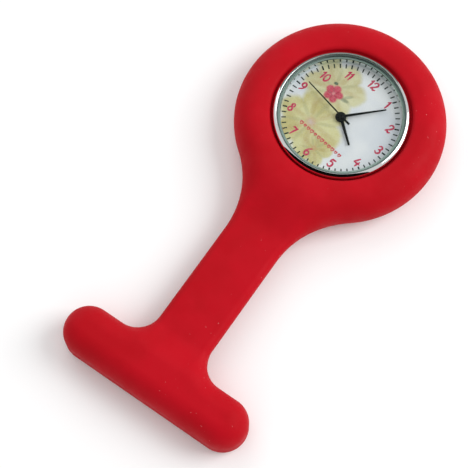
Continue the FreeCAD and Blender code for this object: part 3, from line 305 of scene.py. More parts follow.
class Shader:
    """A node material with one Principled shader and a few short ways to add nodes."""

    def __init__(self, name, colour, roughness, metallic=0.0, **sockets):
        self.material = bpy.data.materials.new(name)
        self.material.use_nodes = True
        self.nodes, self.links = self.material.node_tree.nodes, self.material.node_tree.links
        self.shader = self.nodes["Principled BSDF"]
        self.set("Base Color", colour)
        self.set("Roughness", roughness)
        self.set("Metallic", metallic)
        for socket, value in sockets.items():
            self.set(socket.replace("_", " "), value)
        self.place = self.nodes.new("ShaderNodeTexCoord").outputs["Object"]

    def set(self, socket, value):
        """A constant on the shader's own socket."""
        self.shader.inputs[socket].default_value = value

    def feed(self, source, socket):
        """A texture into a socket of the shader."""
        self.links.new(source, self.shader.inputs[socket])

    def noise(self, scale, detail=3.0, roughness=0.5, place=None):
        """Noise from 0 to 1, with a scale in cycles per metre."""
        node = self.nodes.new("ShaderNodeTexNoise")
        node.inputs["Scale"].default_value = scale
        node.inputs["Detail"].default_value = detail
        node.inputs["Roughness"].default_value = roughness
        self.links.new(place or self.place, node.inputs["Vector"])
        return node.outputs["Fac"]

    def math(self, operation, *values):
        """One arithmetic step on numbers or sockets."""
        node = self.nodes.new("ShaderNodeMath")
        node.operation = operation
        for index, value in enumerate(values):
            if isinstance(value, (int, float)):
                node.inputs[index].default_value = value
            else:
                self.links.new(value, node.inputs[index])
        return node.outputs[0]

    def spread(self, value, low, high, to_low=0.0, to_high=1.0):
        """A value eased from the range low to high onto another range."""
        node = self.nodes.new("ShaderNodeMapRange")
        node.interpolation_type = "SMOOTHSTEP"
        for name, number in (("From Min", low), ("From Max", high), ("To Min", to_low), ("To Max", to_high)):
            node.inputs[name].default_value = number
        self.links.new(value, node.inputs["Value"])
        return node.outputs["Result"]

    def blend(self, share, first, second):
        """A mix of two colours by a share."""
        node = self.nodes.new("ShaderNodeMix")
        node.data_type = "RGBA"
        for socket, value in ((node.inputs[0], share), (node.inputs[6], first), (node.inputs[7], second)):
            if isinstance(value, (int, float, tuple)):
                socket.default_value = value
            else:
                self.links.new(value, socket)
        return node.outputs[2]

    def bump(self, height, distance, strength):
        """Fine relief from a height, with its depth in metres."""
        node = self.nodes.new("ShaderNodeBump")
        node.inputs["Distance"].default_value = distance
        node.inputs["Strength"].default_value = strength
        self.links.new(height, node.inputs["Height"])
        self.links.new(node.outputs["Normal"], self.shader.inputs["Normal"])

    def mapped(self, place=(0, 0, 0), turn=0.0, size=(1, 1, 1)):
        """Object coordinates moved to a place, turned, and scaled so that size becomes one unit."""
        node = self.nodes.new("ShaderNodeMapping")
        node.vector_type = "TEXTURE"
        node.inputs["Location"].default_value = place
        node.inputs["Rotation"].default_value = (0, 0, turn)
        node.inputs["Scale"].default_value = size
        self.links.new(self.place, node.inputs["Vector"])
        return node.outputs["Vector"]

    def length(self, vector):
        """The length of a vector."""
        node = self.nodes.new("ShaderNodeVectorMath")
        node.operation = "LENGTH"
        self.links.new(vector, node.inputs[0])
        return node.outputs["Value"]


# depths of the fine relief, in metres
STREAK_DEPTH, PLASTIC_GRAIN_DEPTH, PRINT_GRAIN_DEPTH, SILICONE_GRAIN_DEPTH = 4e-6, 1e-5, 4e-6, 2e-5


def silicone_material():
    """Matte moulded silicone with a fine grain, faint mottling and a few specks of dust."""
    s = Shader("silicone_red", tint(181, 4, 22), 0.6, Specular_IOR_Level=0.10)
    s.set("Sheen Weight", 0.012)
    s.set("Sheen Roughness", 0.5)
    s.set("Sheen Tint", tint(255, 190, 190))
    mottle = s.noise(90.0, 4.0, 0.55)
    body = s.blend(s.spread(mottle, 0.35, 0.65), tint(177, 3, 20), tint(186, 5, 25))
    dust = s.noise(2300.0, 1.0, 0.5)
    patches = s.noise(60.0, 2.0)
    specks = s.math("MULTIPLY", s.spread(dust, 0.77, 0.80), s.spread(patches, 0.50, 0.62))
    s.feed(s.blend(s.math("MULTIPLY", specks, 0.5), body, tint(226, 150, 150)), "Base Color")
    s.feed(s.spread(s.noise(420.0, 3.0), 0.3, 0.7, 0.54, 0.68), "Roughness")
    grain = s.noise(5200.0, 2.0, 0.6)
    s.bump(grain, SILICONE_GRAIN_DEPTH, 0.35)
    return s.material


def metal_material(name, colour, roughness, streak=0.0, grain=9000.0, stretch=(1, 1, 1)):
    """Metal with fine streaks or pits in its roughness and surface."""
    s = Shader(name, colour, roughness, metallic=1.0)
    texture = s.noise(grain, 3.0, 0.6, s.mapped(size=stretch))
    s.feed(s.spread(texture, 0.3, 0.7, roughness * 0.8, roughness * 1.35 + 0.02), "Roughness")
    if streak:
        s.bump(texture, STREAK_DEPTH, streak)
    return s.material


def plastic_material(name, colour, roughness, other=None, grain=2500.0, **sockets):
    """Moulded plastic or rubber with a slight grain and a slight drift in colour."""
    s = Shader(name, colour, roughness, **sockets)
    drift = s.noise(300.0, 3.0)
    darker = other or tuple(c * 0.82 for c in colour[:3]) + (1.0,)
    s.feed(s.blend(s.spread(drift, 0.35, 0.65), darker, colour), "Base Color")
    fine = s.noise(grain, 2.0)
    s.feed(s.spread(fine, 0.3, 0.7, roughness * 0.85, min(1.0, roughness * 1.15)), "Roughness")
    s.bump(fine, PLASTIC_GRAIN_DEPTH, 0.3)
    return s.material


def glass_material():
    """Clear watch glass: light passes straight through it, and it mirrors more at a glance."""
    s = Shader("crystal_clear", tint(236, 246, 242), 0.03)
    clear = s.nodes.new("ShaderNodeBsdfTransparent")
    clear.inputs["Color"].default_value = (0.936, 0.949, 0.941, 1)
    mirror = s.nodes.new("ShaderNodeBsdfGlossy")
    s.links.new(s.spread(s.noise(160.0, 3.0), 0.35, 0.75, 0.02, 0.07), mirror.inputs["Roughness"])
    facing = s.nodes.new("ShaderNodeLayerWeight")
    facing.inputs["Blend"].default_value = 0.5
    glance = s.math("POWER", facing.outputs["Facing"], 5.0)
    mix = s.nodes.new("ShaderNodeMixShader")
    s.links.new(s.math("MULTIPLY_ADD", glance, 0.8, 0.014), mix.inputs["Fac"])
    s.links.new(clear.outputs["BSDF"], mix.inputs[1])
    s.links.new(mirror.outputs["BSDF"], mix.inputs[2])
    s.links.new(mix.outputs["Shader"], s.nodes["Material Output"].inputs["Surface"])
    s.nodes.remove(s.shader)
    return s.material


def petals(s, centre, reach, width, count, first, edge=0.28):
    """A mask of round petals about a centre, in millimetres on the dial."""
    mask = None
    ripple = s.math("MULTIPLY", s.math("SUBTRACT", s.noise(700.0, 3.0), 0.5), 0.30)
    for number in range(count):
        angle = math.radians(first + number * 360 / count)
        spot = (centre[0] + 0.55 * reach * math.cos(angle), centre[1] + 0.55 * reach * math.sin(angle))
        local = s.mapped((spot[0] * MM, spot[1] * MM, 0), angle, (reach * 0.52 * MM, width * MM, 1))
        petal = s.spread(s.math("ADD", s.length(local), ripple), 1.0 - edge, 1.0 + edge * 0.4, 1.0, 0.0)
        mask = petal if mask is None else s.math("MAXIMUM", mask, petal)
    return mask


def spot(s, centre, half_length, half_width, turn=0.0, edge=0.3):
    """A soft-edged oval mask, in millimetres on the dial."""
    size = (half_length * MM, half_width * MM, 1)
    local = s.mapped((centre[0] * MM, centre[1] * MM, 0), math.radians(turn), size)
    ripple = s.math("MULTIPLY", s.math("SUBTRACT", s.noise(900.0, 2.0), 0.5), 0.35)
    return s.spread(s.math("ADD", s.length(local), ripple), 1.0 - edge, 1.0 + edge * 0.5, 1.0, 0.0)


def dial_material():
    """The printed dial: a pale ground with washed cream blossoms, one small crimson bloom and leaves."""
    s = Shader("dial_printed", tint(238, 238, 246), 0.42, Specular_IOR_Level=0.3)
    wash = s.noise(130.0, 3.0)
    colour = s.blend(s.spread(wash, 0.35, 0.68), tint(222, 224, 234), tint(238, 238, 243))
    blossoms = [((-4.9, 3.8), 6.2, 2.75, 6, 22, 0.85), ((-3.7, -4.6), 7.0, 3.0, 6, 0, 1.0),
                ((0.4, -8.3), 3.6, 1.7, 5, 30, 1.0)]
    cream, deep = tint(222, 215, 162), tint(202, 189, 124)
    washes = s.blend(s.spread(s.noise(210.0, 4.0), 0.38, 0.66), cream, deep)
    for centre, reach, width, count, first, strength in blossoms:
        mask = petals(s, centre, reach, width, count, first)
        colour = s.blend(s.math("MULTIPLY", mask, strength), colour, washes)
    for centre, reach, width, count, first, strength in blossoms:
        vein = petals(s, centre, reach * 0.85, width * 0.22, count, first, 0.7)
        colour = s.blend(s.math("MULTIPLY", vein, 0.34), colour, tint(182, 152, 92))
        between = petals(s, centre, reach * 0.75, width * 0.16, count, first + 180 / count, 0.7)
        colour = s.blend(s.math("MULTIPLY", between, 0.34), colour, tint(160, 158, 112))
        heart = spot(s, centre, reach * 0.17, reach * 0.17, 0, 0.5)
        colour = s.blend(s.math("MULTIPLY", heart, 0.5), colour, tint(206, 150, 104))
    leaves = [((-2.0, 3.2), 1.15, 0.42, 12, 0.5), ((-1.7, 4.3), 1.0, 0.36, 48, 0.35),
              ((-5.5, 4.85), 0.52, 0.36, 15, 0.9)]
    for place, length, width, turn, strength in leaves:
        leaf = spot(s, place, length, width, turn, 0.45)
        colour = s.blend(s.math("MULTIPLY", leaf, strength), colour, tint(48, 84, 66))
    bloom_place = (-4.45, 2.9)
    bloom = petals(s, bloom_place, 1.95, 0.92, 5, 18, 0.35)
    colour = s.blend(s.math("MULTIPLY", bloom, 0.95), colour, tint(206, 42, 84))
    folds = petals(s, bloom_place, 1.3, 0.2, 5, 54, 0.6)
    colour = s.blend(s.math("MULTIPLY", folds, 0.6), colour, tint(158, 20, 56))
    eye = spot(s, bloom_place, 0.4, 0.4, 0, 0.5)
    colour = s.blend(s.math("MULTIPLY", eye, 0.6), colour, tint(232, 120, 140))
    speckle = s.noise(4200.0, 1.0)
    colour = s.blend(s.spread(speckle, 0.3, 0.7, 0.0, 0.10), colour, tint(255, 255, 255))
    s.feed(colour, "Base Color")
    s.bump(s.noise(3000.0, 2.0), PRINT_GRAIN_DEPTH, 0.25)
    return s.material


def ink_material(name, colour, fade, roughness=0.45):
    """Printed ink, a little uneven in strength."""
    s = Shader(name, colour, roughness, Specular_IOR_Level=0.25)
    lighter = tuple(c + (1 - c) * fade for c in colour[:3]) + (1.0,)
    s.feed(s.blend(s.spread(s.noise(2600.0, 2.0), 0.35, 0.7), colour, lighter), "Base Color")
    s.feed(s.spread(s.noise(1500.0, 2.0), 0.3, 0.7, roughness * 0.85, roughness * 1.15), "Roughness")
    return s.material


SILICONE = silicone_material()
BEZEL = metal_material("bezel_chrome", tint(236, 238, 238), 0.045, grain=4000.0)
MIRROR = metal_material("rehaut_mirror", tint(222, 230, 228), 0.06, grain=4000.0)
SATIN = metal_material("rehaut_satin", tint(186, 204, 198), 0.42, grain=6000.0)
STEEL = metal_material("brushed_steel", tint(200, 200, 200), 0.24, 0.5, 5000.0, (1, 0.06, 1))
CASE_STEEL = metal_material("case_steel", tint(196, 197, 198), 0.2, 0.4, 5000.0, (0.06, 1, 1))
PIN_STEEL = metal_material("pin_steel", tint(206, 204, 200), 0.16, 0.3, 6000.0, (0.05, 1, 1))
BRASS = metal_material("wheel_brass", tint(214, 178, 104), 0.22, 0.3)
COPPER = metal_material("coil_copper", tint(190, 104, 62), 0.3, 0.8, 9000.0, (0.02, 1, 1))
DARK_STEEL = metal_material("rotor_metal", tint(120, 120, 124), 0.35, 0.4)
PALE_METAL = metal_material("bridge_metal", tint(205, 206, 208), 0.28, 0.5, 5000.0, (1, 0.05, 1))
HAND_BLACK = plastic_material("hand_black", tint(9, 10, 10), 0.42, Specular_IOR_Level=0.16)
SEAL = plastic_material("seal_rubber", tint(28, 28, 29), 0.6)
CLEAR_SEAL = plastic_material("seal_clear", tint(84, 100, 98), 0.35)
PLATE_PLASTIC = plastic_material("movement_plastic", tint(52, 52, 55), 0.5)
RING_PLASTIC = plastic_material("ring_plastic", tint(232, 232, 226), 0.5)
WHEEL_PLASTIC = plastic_material("wheel_plastic", tint(226, 222, 208), 0.42)
BOARD = plastic_material("board_green", tint(30, 92, 56), 0.3, tint(22, 72, 44))
CHIP = plastic_material("chip_black", tint(20, 20, 20), 0.55)
GLASS = glass_material()
DIAL = dial_material()
TICK_INK = ink_material("tick_ink", tint(14, 34, 32), 0.03)
NUMERAL_INK = ink_material("numeral_ink", tint(202, 36, 84), 0.10)
EMBLEM_INK = ink_material("emblem_ink", tint(210, 74, 84), 0.10)

# the CAD nodes that stay, each with its own material
NODE_MATERIALS = {
    "pin_plate": PIN_STEEL, "hinge_rivet": PIN_STEEL, "brooch_needle": PIN_STEEL, "safety_catch": PIN_STEEL,
    "case_body": CASE_STEEL, "case_back": STEEL, "case_back_gasket": SEAL, "crystal_gasket": CLEAR_SEAL,
    "crown_tube": CASE_STEEL, "crown": CASE_STEEL, "crown_o_ring": SEAL, "crown_stem": STEEL,
    "clutch_wheel": STEEL, "main_plate": PLATE_PLASTIC, "train_bridge": PALE_METAL,
    "movement_screws": STEEL, "movement_ring": RING_PLASTIC, "stator": STEEL, "coil_core": STEEL,
    "coil_winding": COPPER, "battery": STEEL, "battery_clip": STEEL, "circuit_board": BOARD,
    "control_chip": CHIP, "quartz_can": PALE_METAL, "yoke": STEEL, "setting_lever": STEEL,
    "rotor": DARK_STEEL, "fifth_wheel": WHEEL_PLASTIC, "fourth_wheel": BRASS, "third_wheel": BRASS,
    "centre_wheel": BRASS, "minute_wheel": WHEEL_PLASTIC, "hour_wheel": BRASS,
}
for node, material in NODE_MATERIALS.items():
    slots = frame["nodes"][node].material_slots
    for slot in slots:
        slot.link = "OBJECT"
        slot.material = material

# ---------------------------------------------------------------- sleeve
NET_STEP = 0.3
sleeve_points, sleeve_faces = surface_net(sleeve_distance, SLEEVE_LOW, SLEEVE_HIGH, NET_STEP)
sleeve = new_piece("sleeve_skin", sleeve_points, sleeve_faces, SILICONE, "sleeve")
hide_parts("silicone_sleeve")

# ---------------------------------------------------------------- bezel, glass and rehaut
BEZEL_BORE, BEVEL, BEVEL_START, BEVEL_END, LIP_ROUND = 12.5, 1.12, 30, 75, 0.12
bezel_low, bezel_high = box_mm("bezel_ring")
bezel_top, lip = bezel_high[2], BEZEL_BORE + LIP_ROUND
bevel_end = math.radians(BEVEL_END)
bevel_middle = (lip - BEVEL * math.cos(bevel_end), bezel_top - BEVEL * math.sin(bevel_end))
bezel_profile = [(BEZEL_BORE, bezel_low[2]), (radius_mm("bezel_ring"), bezel_low[2])]
bezel_profile += arc(bevel_middle, BEVEL, BEVEL_START, BEVEL_END, 18)
bezel_profile += arc((lip, bezel_top - LIP_ROUND), LIP_ROUND, 90, 180, 8)[1:]
bezel = lathe("bezel_turned", bezel_profile, BEZEL, "head")
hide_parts("bezel_ring")

GLASS_CHAMFER = 0.15
glass_low, glass_high = box_mm("crystal")
glass_profile = disc_profile(radius_mm("crystal"), glass_low[2], glass_high[2], GLASS_CHAMFER)
glass = lathe("crystal_pane", glass_profile, GLASS, "head")
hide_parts("crystal")

# the rehaut is a polished wall whose top slopes outwards under a satin seat for the glass
REHAUT_BORE, REHAUT_WALL, REHAUT_EDGE, SEAT_THICKNESS, SEAT_GAP = 11.75, 12.15, 0.08, 0.31, 0.01
rehaut_low, rehaut_high = box_mm("rehaut_ring")
wall_low, seat_top, seat_radius = rehaut_low[2], rehaut_high[2], radius_mm("rehaut_ring")
seat_low = seat_top - SEAT_THICKNESS
wall_profile = [(REHAUT_BORE, wall_low), (REHAUT_WALL, wall_low), (REHAUT_WALL, seat_low),
                (REHAUT_BORE + REHAUT_EDGE, seat_top - SEAT_GAP),
                (REHAUT_BORE, seat_top - SEAT_GAP - REHAUT_EDGE)]
rehaut = lathe("rehaut_wall", wall_profile, MIRROR, "head")
seat_profile = [(REHAUT_WALL + SEAT_GAP, seat_low), (seat_radius, seat_low), (seat_radius, seat_top),
                (REHAUT_BORE + REHAUT_EDGE + SEAT_GAP, seat_top)]
rehaut_seat = lathe("rehaut_seat", seat_profile, SATIN, "head")
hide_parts("rehaut_ring")
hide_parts("rehaut_ring")

# ---------------------------------------------------------------- dial and print
DIAL_HOLE, DIAL_THICKNESS, DIAL_CHAMFER = 0.95, 0.4, 0.03
dial_top, dial_radius = box_mm("dial")[1][2], radius_mm("dial")
dial_low = dial_top - DIAL_THICKNESS
dial_profile = [(DIAL_HOLE, dial_low), (dial_radius, dial_low), (dial_radius, dial_top - DIAL_CHAMFER),
                (dial_radius - DIAL_CHAMFER, dial_top), (DIAL_HOLE, dial_top)]
dial = lathe("dial_disc", dial_profile, DIAL, "head")
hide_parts("dial")
# strips of print take three heights in turn and rise along their length, so that crossing ones share no plane
PRINT_LOW, PRINT_HIGH, PRINT_STEP = dial_top + 0.001, dial_top + 0.012, 0.004


class Print:
    """Flat printed shapes gathered into one piece, each a little raised from the dial."""

    def __init__(self):
        self.points, self.faces, self.strips = [], [], 0

    def ribbon(self, left, right):
        """A strip between two rows of points, closed all round, whose top rises a little along its length."""
        start, count = len(self.points), len(left)
        self.strips += 1
        rise = PRINT_HIGH + PRINT_STEP * (self.strips % 3 + np.linspace(0, 1, count))
        level = np.full(count, PRINT_LOW)
        for row, heights in ((left, rise), (right, rise), (right, level), (left, level)):
            self.points += [(x, y, height) for (x, y), height in zip(row, heights)]
        for band in range(4):
            here, there = start + band * count, start + (band + 1) % 4 * count
            self.faces += [(here + k, there + k, there + k + 1, here + k + 1) for k in range(count - 1)]
        self.faces.append(tuple(start + band * count for band in (3, 2, 1, 0)))
        self.faces.append(tuple(start + band * count + count - 1 for band in range(4)))

    def stroke(self, line, half_widths):
        """A pen stroke along a line of points, with round ends."""
        line = np.array(line, float)
        widths = np.interp(np.linspace(0, 1, len(line)), np.linspace(0, 1, len(half_widths)), half_widths)
        along = np.gradient(line, axis=0)
        along /= np.maximum(np.linalg.norm(along, axis=1), 1e-9)[:, None]
        across = np.stack([-along[:, 1], along[:, 0]], 1)
        caps = np.radians([80, 55, 30])
        first = [(line[0] - along[0] * widths[0] * math.sin(a), widths[0] * math.cos(a), across[0])
                 for a in caps]
        last = [(line[-1] + along[-1] * widths[-1] * math.sin(a), widths[-1] * math.cos(a), across[-1])
                for a in caps[::-1]]
        rows = first + [(line[k], widths[k], across[k]) for k in range(len(line))] + last
        self.ribbon([tuple(p - n * w) for p, w, n in rows], [tuple(p + n * w) for p, w, n in rows])

    def done(self, name, material):
        """Makes the gathered shapes one piece on the dial."""
        new_piece(name, self.points, self.faces, material, "head", HEAD, smooth=False)


def smooth_line(points, steps=7):
    """A curve through points, by Catmull and Rom's rule."""
    p = [np.array(q, float) for q in points]
    p = [2 * p[0] - p[1]] + p + [2 * p[-1] - p[-2]]
    line = []
    for k in range(1, len(p) - 2):
        for t in np.linspace(0, 1, steps, endpoint=False):
            line.append(0.5 * (2 * p[k] + (p[k + 1] - p[k - 1]) * t
                               + (2 * p[k - 1] - 5 * p[k] + 4 * p[k + 1] - p[k + 2]) * t * t
                               + (3 * p[k] - p[k - 1] - 3 * p[k + 1] + p[k + 2]) * t ** 3))
    line.append(p[-2])
    return line


# pen strokes in a box one unit high and wide about its middle
DIGITS = {
    "0": [[(0.04, 0.5), (-0.2, 0.3), (-0.25, -0.12), (-0.06, -0.5), (0.18, -0.32), (0.25, 0.1), (0.04, 0.5)]],
    "1": [[(-0.16, 0.26), (-0.02, 0.36), (0.06, 0.5)], [(0.06, 0.5), (0.04, 0.0), (0.0, -0.5)]],
    "2": [[(-0.24, 0.24), (-0.1, 0.47), (0.14, 0.46), (0.23, 0.24), (0.06, -0.06), (-0.16, -0.28),
           (-0.28, -0.47)],
          [(-0.28, -0.47), (-0.06, -0.38), (0.12, -0.5), (0.3, -0.38)]],
    "3": [[(-0.22, 0.36), (0.0, 0.5), (0.2, 0.34), (0.12, 0.1), (-0.06, 0.03)],
          [(-0.06, 0.03), (0.2, -0.04), (0.24, -0.3), (0.02, -0.5), (-0.25, -0.36)]],
    "4": [[(0.0, 0.52), (-0.16, 0.18), (-0.34, -0.12)], [(-0.34, -0.12), (0.0, -0.12), (0.34, -0.10)],
          [(0.20, 0.14), (0.14, -0.16), (0.08, -0.52)]],
    "5": [[(0.26, 0.48), (0.04, 0.44), (-0.14, 0.46)], [(-0.14, 0.46), (-0.18, 0.26), (-0.2, 0.06)],
          [(-0.2, 0.06), (0.04, 0.14), (0.23, -0.06), (0.18, -0.38), (-0.06, -0.5), (-0.26, -0.36)]],
    "6": [[(0.16, 0.5), (-0.1, 0.26), (-0.24, -0.12), (-0.12, -0.46), (0.12, -0.46), (0.24, -0.2),
           (0.08, 0.02), (-0.12, -0.04), (-0.22, -0.2)]],
    "7": [[(-0.26, 0.36), (-0.18, 0.46), (0.06, 0.42), (0.26, 0.48)],
          [(0.26, 0.48), (0.08, 0.06), (-0.06, -0.5)]],
    "8": [[(0.0, 0.03), (0.19, 0.22), (0.06, 0.49), (-0.16, 0.34), (-0.04, 0.08), (0.16, -0.1), (0.2, -0.36),
           (-0.02, -0.5), (-0.22, -0.34), (-0.14, -0.08), (0.0, 0.03)]],
    "9": [[(-0.16, -0.5), (0.1, -0.26), (0.24, 0.12), (0.12, 0.46), (-0.12, 0.46), (-0.24, 0.2),
           (-0.08, -0.02), (0.12, 0.04), (0.22, 0.2)]],
}
# the ring of numerals is a little wider than it is high
NUMERAL_SIZE, NUMERAL_RING, RING_WIDE, RING_HIGH, SLANT = 1.75, 9.62, 1.02, 0.99, 0.05
DIGIT_SPACING, ELEVEN_SPACING, TWO_DIGIT_INSET = 0.56, 0.40, 0.45
# half-widths of the pen along a stroke
NUMERAL_PEN, HEART_PEN = (0.12, 0.17, 0.20, 0.17, 0.12), (0.06, 0.11, 0.13, 0.07)

numerals = Print()
for hour in range(1, 13):
    bearing = math.radians(90 - 30 * hour)
    ring = NUMERAL_RING - (TWO_DIGIT_INSET if hour in (10, 11) else 0)
    centre = (ring * RING_WIDE * math.cos(bearing), ring * RING_HIGH * math.sin(bearing))
    text = str(hour)
    for index, digit in enumerate(text):
        shift = (index - (len(text) - 1) / 2) * (ELEVEN_SPACING if hour == 11 else DIGIT_SPACING)
        for line in DIGITS[digit]:
            placed = [(centre[0] + (shift + x + SLANT * y) * NUMERAL_SIZE, centre[1] + y * NUMERAL_SIZE)
                      for x, y in line]
            numerals.stroke(smooth_line(placed), NUMERAL_PEN)
numerals.done("dial_numerals", NUMERAL_INK)

ticks = Print()
TICK_INNER, TICK_OUTER, TICK_HALF, HOUR_TICK_HALF = 10.62, 11.52, 0.12, 0.15
for minute in range(60):
    angle = math.radians(6 * minute)
    half = TICK_HALF if minute % 5 else HOUR_TICK_HALF
    along = np.array([math.sin(angle), math.cos(angle)])
    across = np.array([math.cos(angle), -math.sin(angle)]) * half
    low, high = along * TICK_INNER, along * TICK_OUTER
    ticks.ribbon([tuple(low - across), tuple(high - across)], [tuple(low + across), tuple(high + across)])
ticks.done("dial_ticks", TICK_INK)

HEARTS, HEART_START, HEART_STEP, HEART_SIZES = 12, (-4.9, -5.85), (0.9, -0.02), (0.42, 0.30, 0.36)
hearts = Print()
for number in range(HEARTS):
    x, y = HEART_START[0] + number * HEART_STEP[0], HEART_START[1] + number * HEART_STEP[1]
    size = HEART_SIZES[number % len(HEART_SIZES)]
    for side in (-1, 1):
        lobe = [(x, y - size), (x + side * 0.72 * size, y + 0.05 * size),
                (x + side * 0.46 * size, y + 0.68 * size), (x, y + 0.26 * size)]
        hearts.stroke(smooth_line(lobe, 4), HEART_PEN)
hearts.done("dial_emblems", EMBLEM_INK)


# ---------------------------------------------------------------- hands
HAND_BEVEL, TAIL_FLARE = 0.05, 1.5


def bevelled_blade(outline, low, high, edge):
    """Points and faces of a flat hand with a bevelled top edge, from an outline with its tip on +Y."""
    ring = np.array(outline, float)
    back, front = np.roll(ring, 1, 0), np.roll(ring, -1, 0)
    along = front - back
    along /= np.maximum(np.linalg.norm(along, axis=1), 1e-9)[:, None]
    inward = np.stack([-along[:, 1], along[:, 0]], 1)
    shrunk = ring + inward * edge
    count = len(ring)
    points = [(x, y, low) for x, y in ring] + [(x, y, high - edge * 0.6) for x, y in ring]
    points += [(x, y, high) for x, y in shrunk]
    faces = [tuple(range(count))[::-1], tuple(range(2 * count, 3 * count))]
    for level in range(2):
        for k in range(count):
            after = (k + 1) % count
            here = level * count
            faces.append((here + k, here + after, here + count + after, here + count + k))
    return points, faces


def hub_arc(hub, start, end, steps):
    """Points round a hand's hub, from one angle to another."""
    return [(hub * math.cos(a), hub * math.sin(a)) for a in np.linspace(start, end, steps)]


def hand_piece(name, node, body, length, root, tip, hub, thickness, tail=None):
    """One hand: an anticlockwise outline, turned to where its CAD node points.

    Root, tip and hub are half-widths, and a tail is its length and half-width.
    """
    top = box_mm(node)[1][2]
    turn = HAND_TURNS[node]
    start = math.atan2(math.sqrt(hub * hub - root * root), root)
    if tail:
        tail_length, tail_half = tail
        lower = -math.atan2(math.sqrt(hub * hub - tail_half * tail_half), tail_half)
        foot = tail_half * TAIL_FLARE
        outline = [(-foot, -tail_length), (foot, -tail_length)]
        outline += hub_arc(hub, lower, start, 24)
        closing = hub_arc(hub, math.pi - start, math.pi - lower, 24)
    else:
        outline = hub_arc(hub, -math.pi / 2, start, 32)
        closing = hub_arc(hub, math.pi - start, 1.5 * math.pi, 32)[:-1]
    shoulder, point = length - tip, length - tip * 0.15
    outline += [(tip, shoulder), (tip * 0.5, point), (-tip * 0.5, point), (-tip, shoulder)]
    outline += closing
    points, faces = bevelled_blade(outline, top - thickness, top, min(HAND_BEVEL, tip * 0.5))
    matrix = HEAD @ Matrix.Rotation(turn, 4, "Z")
    piece = new_piece(name, points, faces, HAND_BLACK, body, matrix)
    sharpen(piece, HAND_SHARP)
    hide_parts(node)


def node_direction(node):
    """The bearing of a hand's far end in the head's frame, from +Y, anticlockwise in radians."""
    corners = np.array([list(v.co) + [1] for v in frame["nodes"][node].data.vertices]) @ TO_HEAD.T
    far = corners[np.argmax(np.hypot(corners[:, 0], corners[:, 1]))]
    tips = corners[np.hypot(corners[:, 0], corners[:, 1]) > 0.97 * np.hypot(far[0], far[1])].mean(0)
    return math.atan2(-tips[0], tips[1])


HAND_TURNS = {node: node_direction(node) for node in ("hour_hand", "minute_hand", "second_hand")}
hand_piece("hour_blade", "hour_hand", "hours",
           length=6.1, root=0.3, tip=0.2, hub=1.08, thickness=0.14)
hand_piece("minute_blade", "minute_hand", "minutes",
           length=9.0, root=0.27, tip=0.14, hub=0.95, thickness=0.12)
hand_piece("second_blade", "second_hand", "seconds",
           length=9.5, root=0.145, tip=0.11, hub=0.62, thickness=0.09, tail=(2.35, 0.16))

CAP_RADIUS, CAP_ROUND, CAP_FOOT, CAP_SHOULDER, CAP_TOP = 0.42, 0.12, 0.14, 0.01, 0.13
hand_top = box_mm("second_hand")[1][2]
cap_profile = [(0.0, hand_top - CAP_FOOT), (CAP_RADIUS, hand_top - CAP_FOOT)]
cap_profile += arc((CAP_RADIUS - CAP_ROUND, hand_top + CAP_SHOULDER), CAP_ROUND, 0, 80, 6)
cap_profile += [(0.0, hand_top + CAP_TOP)]
lathe("second_cap", cap_profile, HAND_BLACK, "seconds", segments=64)

# ---------------------------------------------------------------- camera
CAMERA_TILT, CAMERA_TURN = math.radians(18.678), math.radians(34.67)
CAMERA_FROM_HEAD, LENS, SENSOR = (45.72, -102.51, 262.23), 110.07, 36
camera = bpy.data.objects.new("camera", bpy.data.cameras.new("camera"))
bpy.context.scene.collection.objects.link(camera)
camera.data.sensor_width, camera.data.lens = SENSOR, LENS
camera.rotation_euler = (CAMERA_TILT, 0, CAMERA_TURN)
camera.location = (Vector((0, HEAD_Y, 0)) + Vector(CAMERA_FROM_HEAD)) * MM
camera.data.clip_start, camera.data.clip_end = 0.01, 10
bpy.context.scene.camera = camera

# ---------------------------------------------------------------- floor
FLOOR_HALF, FLOOR_DROP = 3.0, 0.0002
floor_shader = Shader("studio_floor", (0.97, 0.97, 0.97, 1), 0.9, Specular_IOR_Level=0.0)
floor_shader.feed(floor_shader.spread(floor_shader.noise(6.0, 2.0), 0.3, 0.7, 0.85, 0.95), "Roughness")
floor_mesh = bpy.data.meshes.new("studio_floor")
floor_corners = [(x * FLOOR_HALF, y * FLOOR_HALF, 0) for x, y in ((-1, -1), (1, -1), (1, 1), (-1, 1))]
floor_mesh.from_pydata(floor_corners, [], [(0, 1, 2, 3)])
thing = bpy.data.objects.new("studio_floor", floor_mesh)
bpy.context.scene.collection.objects.link(thing)
thing.data.materials.append(floor_shader.material)
thing.location = (0, 0, -FLOOR_DROP)

# ---------------------------------------------------------------- light
not_mirrored = bpy.data.collections.new("not_mirrored")
not_mirrored.objects.link(glass)
not_mirrored.collection_objects[0].light_linking.link_state = "EXCLUDE"


def lamp(name, size, place, power):
    """A soft square lamp aimed at the middle of the outline, which the watch glass doesn't mirror."""
    light = bpy.data.lights.new(name, "AREA")
    light.shape, light.size, light.energy = "SQUARE", size, power
    thing = bpy.data.objects.new(name, light)
    bpy.context.scene.collection.objects.link(thing)
    thing.location = place
    thing.rotation_mode = "QUATERNION"
    thing.rotation_quaternion = (-Vector(place)).to_track_quat("-Z", "Y")
    thing.light_linking.receiver_collection = not_mirrored


def on_sphere(reach, bearing, rise):
    """A point at a distance, from a bearing about +Z and a rise above the floor, both in radians."""
    level = reach * math.cos(rise)
    return (level * math.cos(bearing), level * math.sin(bearing), reach * math.sin(rise))


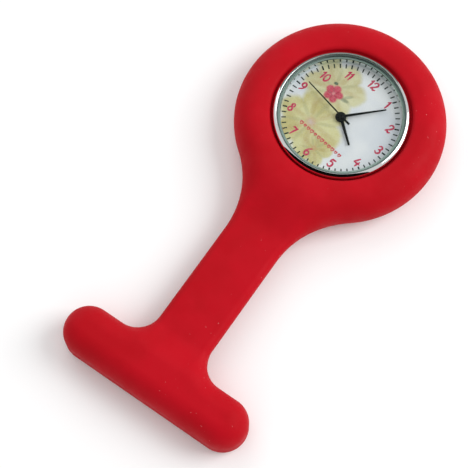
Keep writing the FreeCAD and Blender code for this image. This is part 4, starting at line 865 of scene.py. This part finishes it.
def reflector(name, bearing, spread, low, high, reach, dim, bright):
    """A curved screen that only mirror-like surfaces see, dim at its foot and bright at its top."""
    columns, rows = 24, 12
    points, faces = [], []
    for row in range(rows + 1):
        rise = math.radians(low + (high - low) * row / rows)
        for column in range(columns + 1):
            turn = bearing + math.radians(spread) * (2 * column / columns - 1)
            points.append(on_sphere(reach, turn, rise))
    for row in range(rows):
        for column in range(columns):
            corner = row * (columns + 1) + column
            faces.append((corner, corner + 1, corner + columns + 2, corner + columns + 1))
    mesh = bpy.data.meshes.new(name)
    mesh.from_pydata(points, [], faces)
    screen = bpy.data.objects.new(name, mesh)
    bpy.context.scene.collection.objects.link(screen)
    screen.location = (0, HEAD_Y * MM, 0)
    s = Shader(name, dim, 0.9)
    height = s.nodes.new("ShaderNodeSeparateXYZ")
    s.links.new(s.place, height.inputs["Vector"])
    foot, head = (reach * math.sin(math.radians(angle)) for angle in (low, high))
    share = s.spread(height.outputs["Z"], foot, head)
    glow = s.nodes.new("ShaderNodeEmission")
    s.links.new(s.blend(share, dim, bright), glow.inputs["Color"])
    s.links.new(glow.outputs["Emission"], s.nodes["Material Output"].inputs["Surface"])
    s.nodes.remove(s.shader)
    screen.data.materials.append(s.material)
    screen.visible_camera = screen.visible_diffuse = False
    screen.visible_shadow = screen.visible_transmission = False


# the bezel mirrors a dark screen on the camera's side of the studio and a grey-green one behind the watch
CAMERA_SIDE = CAMERA_TURN - math.pi / 2
NEAR_BLACK, DIM_GREEN, PALE_GREEN = (0.003, 0.003, 0.003, 1), (0.05, 0.07, 0.065, 1), (0.42, 0.50, 0.47, 1)
reflector("studio_dark_side", CAMERA_SIDE - math.radians(20),
          spread=56, low=-3, high=80, reach=0.60, dim=NEAR_BLACK, bright=NEAR_BLACK)
reflector("studio_grey_side", CAMERA_SIDE + math.pi,
          spread=42, low=-3, high=84, reach=0.62, dim=DIM_GREEN, bright=PALE_GREEN)

lamp("key", size=0.45, place=on_sphere(0.7, math.radians(42), math.radians(40)), power=3.0)
lamp("fill", size=0.6, place=(-0.48, 0.30, 0.40), power=0.9)

WORLD_COLOUR, WORLD_STRENGTH = (1.0, 1.0, 1.0, 1), 0.69
world = bpy.data.worlds.new("studio")
bpy.context.scene.world = world
world.use_nodes = True
world.node_tree.nodes["Background"].inputs["Color"].default_value = WORLD_COLOUR
world.node_tree.nodes["Background"].inputs["Strength"].default_value = WORLD_STRENGTH
bpy.context.scene.view_settings.view_transform = "Standard"
